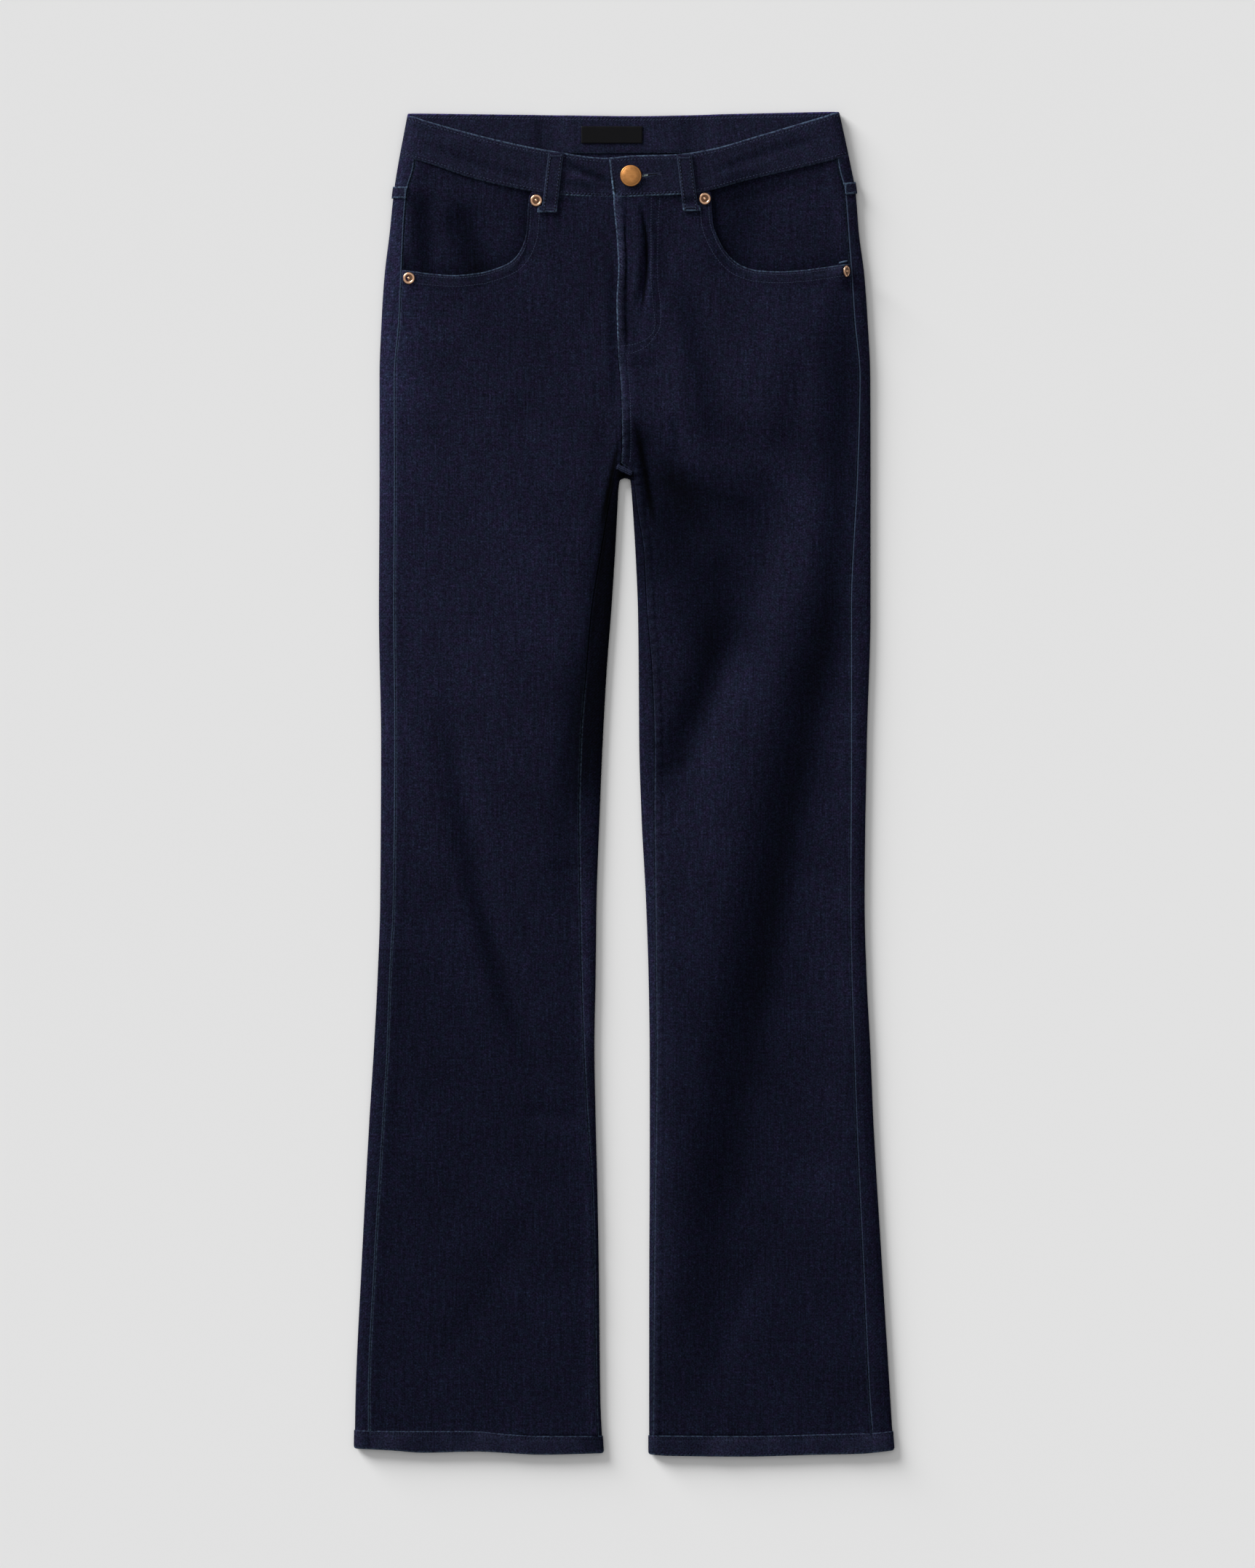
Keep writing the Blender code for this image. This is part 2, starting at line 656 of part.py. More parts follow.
def build_facings(denim, jeans):
    """Cloth under each pocket mouth, from the outseam and waistband seam to just past the mouth."""
    for side, name in ((-1, "pocket_facing_right"), (1, "pocket_facing_left")):
        mouth = along(POCKET_MOUTH[side], 14.0)
        outline = []
        for (x0, y0), (x1, y1) in zip(mouth, mouth[1:]):
            length = math.hypot(x1 - x0, y1 - y0)
            x = (x0 + x1) / 2 - side * MOUTH_UNDERLAY * (y0 - y1) / length
            y = (y0 + y1) / 2 - side * MOUTH_UNDERLAY * (x1 - x0) / length
            outline.append((x, y))
        seam_top = FRONT_LOW(OUTSEAM[side](YOKE_LEVEL)) - 2.0
        for y in spaced(outline[-1][1] + 2.0, seam_top, 15.0):
            outline.append((OUTSEAM[side](y) - side * SEAM_ROOM, y))
        for x in spaced(outline[-1][0] - side * 4.0, outline[0][0], 13.0):
            outline.append((x, FRONT_LOW(x) - SEAM_GAP))

        def height(x, y):
            return top_height(x, y) - FACING_DROP

        cuts_x = [side * x for x in np.arange(70.0, 184.0, 15.0)]
        cuts_y = spaced(485.0, 416.0, 17.0)
        panel(name, outline, height, denim, jeans, CLOTH, cuts_x, cuts_y)


def build_fly(denim, tape, jeans):
    """The zip tape under the fly and the shield behind it."""
    for name, size, offset, drop, thickness, material in (
        ("zip", ZIP_SIZE, -9.0, FACING_DROP, ZIP_TAPE, tape),
        ("fly_shield", SHIELD_SIZE, -10.0, FACING_DROP + ZIP_TAPE + SEAM_GAP, SHIELD_CLOTH, denim),
    ):
        rows = []
        for y in spaced(FLY_TOP, FLY_TOP - size[1], 14.0):
            start = CENTRE(y) + offset
            rows.append([(x, y, top_height(x, y) - drop) for x in spaced(start, start + size[0], 9.0)])
        loft(name, rows, material, jeans, thickness)


def inseam_place(side, y):
    """Where the inseam lies, at least a narrow strip in from the inner edge."""
    edge = INNER_EDGE[side](y)
    return edge + side * max(NARROWEST_STRIP, abs(INSEAM[side](y) - edge))


def inseam_room(side, y):
    """Half the gap at the inseam, wider where the seam lies low on the rounded edge and the walls lean."""
    strip = abs(inseam_place(side, y) - INNER_EDGE[side](y))
    return SEAM_ROOM + LOW_SEAM_ROOM * clamp((WIDE_STRIP - strip) / STRIP_RUN)


def outer_turn(side, y):
    """From the outseam over the outer edge down to the surface."""
    edge = OUTER[side](y)
    width = abs(edge - OUTSEAM[side](y)) - SEAM_ROOM
    points = []
    for step in SEAM_STEPS:
        x = edge - side * step * width
        points.append((x, y, top_height(x, y)))
    half = HEIGHT(y) / 2.0
    for inward, down in map(quarter_turn, UNDER_ANGLES):
        x = edge - side * UNDER_TURN * inward
        points.append((x, y, half * (1.0 - down) + under_lift(x, y) * down))
    return points


def inner_turn(side, y):
    """From the surface up over the inner edge to the inseam; at the crotch it lies or stands instead."""
    half = HEIGHT(y) / 2.0
    if y > CROTCH_CURL + 1.0:
        outs = spaced(FLAT_INNER, HALF_GAP, FLAT_INNER / (len(UNDER_ANGLES) + len(INNER_STEPS) - 1))
        return [(side * out, y, under_lift(side * out, y)) for out in outs]
    if y > CROTCH_BACK + 1.0:
        points = []
        for inward, down in map(quarter_turn, reversed(UNDER_ANGLES)):
            points.append((side * (HALF_GAP + UNDER_TURN * inward), y, half * (1.0 - down)))
        for rise in CURL_RISES:
            points.append((side * HALF_GAP, y, half + rise * CURL_HEIGHT))
        return points
    edge = INNER_EDGE[side](y)
    width = abs(inseam_place(side, y) - edge) - inseam_room(side, y)
    points = []
    for inward, down in map(quarter_turn, reversed(UNDER_ANGLES)):
        points.append((edge + side * UNDER_TURN * inward, y, half * (1.0 - down)))
    for step in INNER_STEPS:
        x = edge + side * step * width
        points.append((x, y, top_height(x, y)))
    return points


def back_row(side, y_nominal, drop):
    """One row of a back panel; drop(x) lowers each point from the row's nominal level."""

    def level(x):
        return y_nominal - drop(x)

    row = []
    for index in range(len(SEAM_STEPS) + len(UNDER_ANGLES)):
        y = level(OUTER[side](y_nominal))
        row.append(outer_turn(side, y)[index])
    start = row[-1][0]
    last = inner_turn(side, y_nominal)
    for i in range(1, UNDER_COLUMNS):
        x = start + (last[0][0] - start) * i / UNDER_COLUMNS
        y = level(x)
        row.append((x, y, under_lift(x, y)))
    for x, y, z in last:
        y_lowered = level(x) if y_nominal > CROTCH_CURL + 1.0 else y
        row.append((x, y_lowered, under_lift(x, y_lowered) if y_lowered != y else z))
    return row


def yoke_seam(x):
    """Level of the yoke seam across the lying side: a shallow V that points down at the seat seam."""
    out = clamp(abs(x) / YOKE_SEAM_OUT)
    return YOKE_SEAM_CENTRE + (YOKE_SEAM_SIDE - YOKE_SEAM_CENTRE) * out


def build_backs(denim, jeans):
    for side, name in ((-1, "back_right"), (1, "back_left")):
        rows = []
        for y in SEAT_LEVELS + CROTCH_LEVELS + LEG_LEVELS:
            share = clamp((y - SEAT_STRAIGHT) / (SEAT_LEVELS[0] - SEAT_STRAIGHT))

            def drop(x, share=share):
                return share * (YOKE_SEAM_SIDE - yoke_seam(x))

            rows.append(back_row(side, y, drop))
        loft(name, rows, denim, jeans, CLOTH, flip=side < 0)


def build_yokes(denim, jeans):
    for side, name in ((-1, "yoke_right"), (1, "yoke_left")):
        rows = []
        for share in (0.0, 0.34, 0.67, 1.0):
            row = []
            count = len(SEAM_STEPS) + len(UNDER_ANGLES)
            for index in range(count):
                high = FRONT_LOW(outer_turn(side, YOKE_LEVEL)[index][0]) - SEAM_GAP
                y = high + (YOKE_SEAM_SIDE + HALF_GAP - high) * share
                row.append(outer_turn(side, y)[index])
            start = row[-1][0]
            for i in range(1, YOKE_COLUMNS + 1):
                x = start + (side * HALF_GAP - start) * i / YOKE_COLUMNS
                high = BACK_LOW(x) - SEAM_GAP
                y = high + (yoke_seam(x) + HALF_GAP - high) * share
                row.append((x, y, under_lift(x, y)))
            rows.append(row)
        loft(name, rows, denim, jeans, CLOTH, flip=side < 0)


def band_step(x, end):
    """The lap at the button: the upper end is raised, the end under it is lowered."""
    if end > 0:
        return TAB_STEP * ease(1.0 - (x - TAB_FLAT) / TAB_FADE)
    return -TAB_STEP * ease((x - UNDER_LAP_START) / UNDER_LAP_RUN)


def band_front_station(side, share, x_low, x_top):
    """Points across the waistband on the top side, from its seam to its edge."""
    low_end, top_end = (OUTER[side](y) - side * OUTER_ROUND[side](y) for y in (BAND_SIDE_LOW, BAND_SIDE_TOP))
    low = x_low + (low_end - x_low) * share
    top = x_top + (top_end - x_top) * share
    points = []
    for across in BAND_ACROSS:
        x = low + (top - low) * across
        y = FRONT_LOW(low) + (FRONT_TOP(top) - FRONT_LOW(low)) * across
        points.append((x, y, top_height(x, y) + BAND_PROUD + band_step(x, side)))
    return points


def band_edge_stations(side):
    """Points across the waistband where it turns round the side."""
    stations = []
    low_y, top_y = BAND_SIDE_LOW, FRONT_TOP(side * BAND_SIDE_OUT)
    for inward in (0.55, 0.25, 0.07, 0.0):
        points = []
        for across in BAND_ACROSS:
            y = low_y + (top_y - low_y) * across
            inset = inward * OUTER_ROUND[side](y)
            x = OUTER[side](y) - side * inset
            y_front = FRONT_LOW(x) + (FRONT_TOP(x) - FRONT_LOW(x)) * across
            y = y_front + (y - y_front) * (1.0 - inward)
            points.append((x, y, top_height(x, y) + BAND_PROUD * (0.5 + 0.5 * inward)))
        stations.append(points)
    for inward, down in map(quarter_turn, (30.0, 60.0, 90.0)):
        points = []
        for across in BAND_ACROSS:
            x = OUTER[side](low_y + (top_y - low_y) * across) - side * BAND_UNDER_TURN * inward
            y = BACK_LOW(x) + (BACK_TOP(x) - BACK_LOW(x)) * across
            half = HEIGHT(y) / 2.0 + BAND_PROUD / 2.0
            points.append((x, y, half * (1.0 - down) + under_lift(x, y) * down))
        stations.append(points)
    return stations


def build_waistband(denim, jeans):
    """One band from its hidden right end, round the back, to its lapped left end."""
    stations = []
    for share in spaced(0.0, 1.0, 1.0 / BAND_COUNTS["right"]):
        stations.append(band_front_station(-1, share, UNDER_LAP_END, UNDER_LAP_END))
    stations += band_edge_stations(-1)
    first, last = band_edge_stations(-1)[-1], band_edge_stations(1)[-1]
    count = BAND_COUNTS["back"]
    for i in range(1, count):
        points = []
        for across, start, end in zip(BAND_ACROSS, first, last):
            x = start[0] + (end[0] - start[0]) * i / count
            y = BACK_LOW(x) + (BACK_TOP(x) - BACK_LOW(x)) * across
            points.append((x, y, under_lift(x, y)))
        stations.append(points)
    stations += reversed(band_edge_stations(1))
    for share in spaced(1.0, 0.0, 1.0 / BAND_COUNTS["left"]):
        stations.append(band_front_station(1, share, TAB_END_LOW, TAB_END_TOP))
    loft("waistband", stations, denim, jeans, BAND_CLOTH, flip=True)


def build_loops(denim, jeans):
    for name, x_top, y_top, x_low, y_low, top_side in LOOPS:
        rows = []
        for share in spaced(0.0, 1.0, 1.0 / 8.0):
            x_mid = x_top + (x_low - x_top) * share
            y = y_top + (y_low - y_top) * share
            row = []
            for across in (-0.5, 0.0, 0.5):
                x = x_mid + across * LOOP_WIDTH
                if top_side:
                    on_band = ease((y - FRONT_LOW(x) + LOOP_STEP_BELOW) / LOOP_STEP_RUN)
                    lift = (BAND_PROUD + max(0.0, band_step(x, 1 if x > 0 else -1))) * on_band
                    arch = LOOP_ARCH * math.sin(math.pi * share)
                    z = top_height(x, y) + lift + SEAM_GAP + arch + LOOP_CLOTH
                else:
                    z = LOOP_CLOTH
                row.append((x, y, z))
            rows.append(row)
        loft(name, rows, denim, jeans, LOOP_CLOTH)


def build_back_pockets(denim, jeans):
    for side, name in ((-1, "back_pocket_right"), (1, "back_pocket_left")):
        outline = [(side * out, y) for out, y in BACK_POCKET]
        panel(name, outline, lambda x, y: POCKET_CLOTH, denim, jeans, POCKET_CLOTH, [], [])


def build_label(black, jeans):
    """The woven label on the inside of the back waistband, with nothing on it."""
    rows = []
    for y in (LABEL["y1"], LABEL["y0"]):
        row = []
        for x in spaced(LABEL["x0"], LABEL["x1"], 6.0):
            row.append((x, y, under_lift(x, y) + BAND_CLOTH + SEAM_GAP + LABEL["thick"]))
        rows.append(row)
    loft("label", rows, black, jeans, LABEL["thick"])


def hem_ring(side, down):
    """A closed ring of points round the flattened hem, from the outer edge over the top side. down is 0
    at the hem's seam and 1 at its lower edge."""
    top = HEM_TOP - HALF_GAP
    level = top + (HEM_LOWEST - top) * down
    outer = OUTER[side](level) + side * HEM_WIDER
    inner = INNER_EDGE[side](level) - side * HEM_WIDER
    half = HEIGHT(level) / 2.0
    points = []
    for share in HEM_STEPS:
        x = outer + (inner - outer) * share
        clear = clamp(x, min(outer, inner) + HEM_WIDER, max(outer, inner) - HEM_WIDER)
        points.append((x, top_height(clear, level) + HEM_PROUD))
    for inward, sunk in map(quarter_turn, HEM_ANGLES):
        points.append((inner + side * UNDER_TURN * inward, half * (1.0 - sunk)))
    for share in (0.25, 0.5, 0.75):
        points.append((inner + (outer - inner) * share, 0.0))
    for inward, sunk in map(quarter_turn, reversed(HEM_ANGLES)):
        points.append((outer - side * UNDER_TURN * inward, half * (1.0 - sunk)))
    points.append(points[0])
    return [(x, top + (HEM_LOW[side](x) - top) * down, z) for x, z in points]


def build_hems(denim, jeans):
    for side, name in ((-1, "hem_right"), (1, "hem_left")):
        rows = [hem_ring(side, down) for down in (0.0, 0.5, 1.0)]
        loft(name, rows, denim, jeans, HEM_CLOTH, closed=True, flip=side > 0)


def build_button(brass, jeans):
    """A plain domed shank button on the waistband tab."""
    radius = BUTTON_RADIUS
    profile = (
        # radius, height
        (0.0, 3.5),
        (0.45 * radius, 3.25),
        (0.8 * radius, 2.5),
        (0.96 * radius, 1.7),
        (radius, 1.1),
        (0.94 * radius, 0.5),
        (0.4 * radius, 0.0),
        (0.0, 0.0),
    )
    button = turned("button", profile, BUTTON_STEPS, brass, jeans)
    x, y = BUTTON_PLACE
    top = max(
        top_height(x + dx, y + dy) + band_step(x + dx, 1)
        for dx in (-radius, 0.0, radius)
        for dy in (-radius, 0.0, radius)
    )
    button.location = Vector((x, y, top + BAND_PROUD + SEAM_GAP)) * MM


def build_rivets(rose_gold, jeans):
    """Rivets with a raised ring round a small nipple, each on a corner of a pocket mouth."""
    profile = (
        # radius, height
        (0.0, 1.5),
        (1.1, 1.35),
        (1.7, 0.75),
        (2.7, 0.8),
        (3.6, 1.2),
        (RIVET_RADIUS, 0.55),
        (RIVET_RADIUS, 0.0),
        (0.0, 0.0),
    )
    for name, x, y, tilt in RIVETS:
        rivet = turned(name, profile, RIVET_STEPS, rose_gold, jeans)
        slope = math.radians(tilt)
        rivet.rotation_euler = (0.0, slope, 0.0)
        clearances = []
        for angle in spaced(0.0, math.tau, math.tau / 16):
            for radius in (0.35 * RIVET_RADIUS, 0.7 * RIVET_RADIUS, RIVET_RADIUS):
                px = x + radius * math.cos(angle) * math.cos(slope)
                py = y + radius * math.sin(angle)
                cloth = top_height(px, py)
                if x > 0.0:
                    cloth += corner_ridge(px, py)
                plane = -radius * math.cos(angle) * math.sin(slope)
                clearances.append(cloth - plane)
        lift = SEAM_GAP / math.cos(slope) + 0.05
        rivet.location = Vector((x, y, max(clearances) + lift)) * MM


def main():
    for obj in list(bpy.data.objects):
        bpy.data.objects.remove(obj)
    jeans = collection_named("bootcut_jeans")
    denim = make_material("denim", INDIGO, 0.85)
    tape = make_material("zip_tape", LABEL_BLACK, 0.8)
    black = make_material("label_black", LABEL_BLACK, 0.7)
    brass = make_material("brass", BRASS, 0.35, 1.0)
    rose_gold = make_material("rose_gold", ROSE_GOLD, 0.3, 1.0)
    build_fronts(denim, jeans)
    build_facings(denim, jeans)
    build_fly(denim, tape, jeans)
    build_backs(denim, jeans)
    build_yokes(denim, jeans)
    build_waistband(denim, jeans)
    build_loops(denim, jeans)
    build_back_pockets(denim, jeans)
    build_label(black, jeans)
    build_hems(denim, jeans)
    build_button(brass, jeans)
    build_rivets(rose_gold, jeans)


main()
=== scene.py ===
"""Bootcut jeans laid flat, front side up: cloth shells, sewing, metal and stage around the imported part.

Places are in millimetres in the part's frame (+Y to the waist, +X to the wearer's left, z = 0 the
surface) and MM turns them into metres when a mesh is made. side is -1 on the wearer's right, 1 on the left.
"""

import math
import random
from functools import partial

import bmesh
import bpy
import numpy as np
from mathutils import Matrix, Vector
from mathutils.bvhtree import BVHTree


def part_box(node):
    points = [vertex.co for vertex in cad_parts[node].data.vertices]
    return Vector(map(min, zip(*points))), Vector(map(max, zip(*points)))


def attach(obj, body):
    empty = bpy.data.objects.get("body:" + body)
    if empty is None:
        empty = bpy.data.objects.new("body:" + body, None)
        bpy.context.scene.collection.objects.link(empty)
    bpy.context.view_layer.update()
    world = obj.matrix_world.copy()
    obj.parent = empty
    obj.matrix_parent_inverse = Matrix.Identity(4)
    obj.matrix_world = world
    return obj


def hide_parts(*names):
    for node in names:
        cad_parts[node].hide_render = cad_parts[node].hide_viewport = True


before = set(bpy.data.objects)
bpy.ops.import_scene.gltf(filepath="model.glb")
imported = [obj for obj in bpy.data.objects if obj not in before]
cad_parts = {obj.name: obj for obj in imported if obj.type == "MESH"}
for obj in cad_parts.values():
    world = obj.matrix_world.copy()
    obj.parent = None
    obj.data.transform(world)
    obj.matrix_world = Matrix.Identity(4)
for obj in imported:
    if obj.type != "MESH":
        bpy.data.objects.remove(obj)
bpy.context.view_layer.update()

bl_info = {
    "name": "Bootcut Jeans",
    "version": (1, 0, 0),
    "blender": (4, 5, 0),
    "location": "View3D > Sidebar > Jeans",
    "description": "Bootcut jeans laid flat, with folds, sewing and metal",
    "category": "Add Mesh",
}

MM = 0.001
BODY = "root"
LEGS = ((-1, "right"), (1, "left"))

# Cloth: how thick it lies, and how far one layer stands proud of the next
CLOTH = 1.2
BAND_CLOTH = 2.5
BAND_PROUD = 0.8
BAND_WIDTH = 32
HEM_CLOTH = 2.2
HEM_PROUD = 0.5
HEM_WIDER = 0.7
LOOP_CLOTH = 1.5
LOOP_WIDTH = 12.5
LOOP_ARCH = 0.5
LABEL_CLOTH = 0.5
FELL_CLOTH = 0.8
YOKE_FELL_CLOTH = 1.3
FELL_WIDTH = 9.4
FACING_DROP = 1.5
MOUTH_UNDERLAY = 13
# Gaps left between pieces, and how far one reaches under the next
HALF_GAP = 0.1
SEAM_ROOM = 0.04
BAND_UNDERLAP = 0.9
MERGE = 0.01
# What the distance to the nearest worn edge is where there is none
NO_EDGE = 500

# Cloth beside a seam: its rolled edge, its puckers and the rise of the allowances under it
SEAM_ROLL = 0.5
SEAM_RIDGE = 0.28
SEAM_RAMP = 2.5
OUTSEAM_REACH = 9
INSEAM_REACH = 7
PUCKER = 0.22
PUCKER_REACH = 5

# Levels along the garment
CROTCH_FRONT = 257.4
CROTCH_CURL = 256.5
CROTCH_BACK = 253.5
CROTCH_TOP = 7.4
YOKE_SEAM_SIDE = 476
YOKE_SEAM_CENTRE = 446
YOKE_SEAM_RUN = 182
YOKE_TAB_SHIFT = {-1: (0, 0), 1: (2.8, 4.4)}
FLY_BOTTOM = 352
BLEND_LEVEL = 300
STRAIGHT_LEVEL = 380
SIDE_TOP = 500
BAND_SIDE_LOW = 505
BAND_SIDE_TOP = 540
HEM_TOP = -525
HEM_MIDDLE = -533
HEM_CORNER = 2
# The hems: how pale, and how far the turned-up cloth reaches above its row of stitches
HEM_TONE = 0.84
HEM_RIM = 3

# Fly and waistband laps
FLY_LAP = 8
FLY_LIFT = 1.5
FLY_LIFT_FLAT = 22
FLY_LIFT_END = 42
FLY_RIDGE = 5.8
TAB_END_TOP = -12.3
TAB_END_LOW = -8.8
TAB_STEP = 1.4
TAB_FLAT = 42
TAB_FADE = 30
UNDER_LAP_END = 26
UNDER_LAP_START = -38
UNDER_LAP_RUN = 24

# The lying side: how its edges turn up, and how it is held up round what lies under it
UNDER_TURN = 3.5
BAND_UNDER_TURN = 4.2
UNDER_MARGIN = 34
UNDER_RAMP = 15
UNDER_CLEAR = 0.3
UNDER_COLUMNS = 30
FLAT_INNER = 12
CURL_HEIGHT = 0.9
NARROWEST_STRIP = 2.6

# How folds die away: at their own ends as a share of their length, at the garment's edges and at its waist
FOLD_END = 0.25
FOLD_EDGE = 26
FOLD_TOP = 480
FOLD_TOP_RUN = 60
# Painted shade that darkens the lower legs towards the hems, and the run over which it deepens
CALF_PAINTED_SHADE = -0.37
CALF_RUN = 330

# Rows of sewing, as distances from the edge that they follow
ROW_BAND_TOP = 3
ROW_BAND_LOW = 2.5
ROW_MOUTH = (2.4, 9.2)
ROW_CENTRE = (1.6, 7.2)
ROW_LOOP = 2
ROW_POCKET = (1.8, 7.6)
ROW_LABEL = 1
# Slant of a thread that runs across its seam, in degrees
THREAD_SLANT = 35

# Places of points across a grid: close together beside an edge
FINE = (0, 0.2, 0.5, 0.9, 1.5, 2.4, 3.8, 5.6)
INNER_FINE = (*FINE, *np.arange(6.8, 36, 1.2))
SEAM_STEPS = (1, 0.97, 0.92, 0.84, 0.74, 0.62, 0.5, 0.38, 0.27, 0.17, 0.09, 0.03, 0)
INNER_STEPS = (0, 0.03, 0.1, 0.2, 0.35, 0.52, 0.7, 0.85, 0.95, 1)
CURL_RISES = (0, 0.1, 0.2, 0.35, 0.5, 0.65, 0.8, 0.9, 0.95, 1)
UNDER_ANGLES = (12, 26, 42, 60, 90)
BAND_ANGLES = (15, 32, 50, 68, 90)
BAND_STEPS = (0.78, 0.58, 0.42, 0.28, 0.17, 0.09, 0.03, 0)
HEM_ANGLES = (12, 28, 46, 66, 90)
HEM_ENDS = (0, 0.3, 0.8, 1.6, 2.8, 4.4)
HEM_INSET = 6.5
HEM_LEVELS = (
    0, 0.03, 0.07, 0.11, 0.14, 0.17, 0.2, 0.24, *np.linspace(0.3, 0.86, 8), 0.91, 0.95, 0.98, 0.99, 1,
)
# Levels of a back panel round the crotch, where its rows lie closest
CROTCH_LEVELS = (
    CROTCH_CURL, CROTCH_BACK + 0.9, 250.5, 248, 247, 246.2, 245.7, 245.2, 244.6, 244, 243, 240.5,
)

# Side edges and outseams of the laid garment, measured across from the centre line
SIDES = (
    # y, outer_right, outseam_right, outseam_left, outer_left
    (542, -173.6, -168.5, 170, 172.8),
    (500, -181.8, -169, 172, 181.8),
    (476, -185.5, -175, 177.5, 186.2),
    (444, -188.8, -177.5, 180, 188.8),
    (409, -193, -179, 182.5, 193.3),
    (374, -195.3, -180.5, 184.8, 195.8),
    (327, -197, -184.2, 189, 198),
    (251, -197, -184, 187, 198.2),
    (139, -197.5, -184.5, 182, 198.2),
    (34, -195.8, -183.7, 182, 195.3),
    (-95, -196.5, -185, 181.5, 193.5),
    (-154, -198.5, -188, 182.5, 195),
    (-212, -201.5, -190, 184.5, 198),
    (-271, -205.2, -193.5, 186.5, 200.5),
    (-388, -211.5, -200.5, 192, 207.5),
    (-493, -216.3, -205, 197, 214),
    (-542, -217.1, -204.8, 201, 217.1),
)
# Inner edges and inseams of the two legs
INNER = (
    # y, inseam_right, inner_right, inner_left, inseam_left
    (253.5, -6.3, 0.06, -0.06, 6.3),
    (246.3, -8.4, 0.06, -0.06, 7.6),
    (245.3, -8.7, -2.6, 4, 7.9),
    (244, -8.9, -3.7, 5, 8.1),
    (238, -9.8, -4.6, 5.6, 8.6),
    (222, -12.8, -5.5, 6.8, 10.6),
    (186, -19, -7.4, 9, 16),
    (139, -26.5, -10.5, 11, 18.5),
    (93, -30.5, -14, 11.6, 22.5),
    (34, -35, -17.3, 12, 24.5),
    (-25, -36.5, -19.8, 13.8, 24.3),
    (-95, -35.7, -22.3, 17.5, 25),
    (-154, -34.5, -23, 19.5, 25.5),
    (-212, -32.5, -24, 20.4, 26),
    (-271, -29.5, -23, 20.5, 25.5),
    (-329, -25.5, -21.6, 20.4, 24.5),
    (-388, -24, -20.5, 20.1, 24),
    (-493, -22.5, -19.3, 20, 23.2),
    (-542, -20.5, -17, 20, 23),
)
# Centre front seam, which is the lapped edge of the fly above FLY_BOTTOM
CENTRE_FRONT = (
    # y, x
    (505, -9.4), (469, -8.8), (440, -6.2), (414, -5), (389, -6.3), (352, -5.3), (311, -2.4),
    (273, -1.8), (255, -3),
)
# How thick the laid garment is, and how wide each edge is rounded
LOFT = (
    # y, height, outer_right, inner_right, inner_left, outer_left
    (542, 8.4, 9, 8, 8, 9),
    (470, 8, 10, 8, 8, 12),
    (390, 7.6, 11, 9, 9, 13),
    (254, 7.2, 11, 10, 9, 13),
    (190, 7, 11, 24, 10, 12),
    (60, 6.8, 11, 27, 11, 11),
    (-60, 6.7, 11, 16, 11, 11),
    (-200, 6.6, 11, 10, 10, 11),
    (-542, 6.6, 9, 8, 8, 9),
)
# Ridges (rise > 0) and troughs (rise < 0) of the top side. Each runs from its lower or left end to its
# upper or right end, bows sideways to its right by bow, and falls away over the widths left and right.
FOLDS = (
    # name, x0, y0, x1, y1, bow, rise, left, right
    ("left_leg_long_ridge", 30, -500, 158, 262, -19, 6, 46, 27),
    ("left_thigh_valley", 28, -20, 132, 262, 9, -4, 34, 26),
    ("left_thigh_hollow", 30, 0, 99, 140, 4, -2.6, 15, 18),
    ("left_hip_bulge", 14, 318, 146, 308, 10, 5, 60, 30),
    ("left_hip_side", 150, 262, 148, 404, 0, 2.4, 50, 18),
    ("left_crotch_crease", 74, 180, 6, 296, -9, -3.4, 11, 20),
    ("left_fly_crease", 46, 250, 26, 334, -2, -1.6, 8, 11),
    ("right_thigh_plateau", -100, -60, -92, 330, 0, 3, 52, 42),
    ("right_leg_long_valley", -54, -266, -163, 118, -12, -2.4, 11, 15),
    ("right_hip_drag", -78, 292, -145, 380, 0, 1.3, 13, 14),
    ("right_knee_crease", -84, -263, -28, -268, 2, -1.2, 8, 8),
    ("left_fly_pucker", 10, 380, 11, 476, 7.5, -2.2, 1.6, 2.2),
    ("left_fly_pucker_lip", 4.5, 378, 5.5, 478, 6.5, 1, 3.4, 2.6),
    ("left_fly_ridge", 15, 372, 16, 474, 7.5, 1, 2.4, 4.5),
    ("right_knee_upper_crease", -70, -70, -30, -67, 1, -0.7, 5, 6),
    ("left_knee_crease", 26, 10, 58, 20, 2, -1, 6, 7),
    ("left_knee_lower_crease", 22, -34, 46, -27, 1, -0.8, 5, 6),
    ("left_crotch_drag", 20, 214, 15, 282, 2, -1.1, 4, 7),
    ("right_crotch_drag", -30, 205, -12, 300, 2, -0.8, 8, 5),
    ("right_calf_crease", -150, -470, -70, -330, 6, -0.8, 10, 12),
    ("left_calf_crease", 70, -500, 120, -360, -5, -0.9, 12, 10),
)
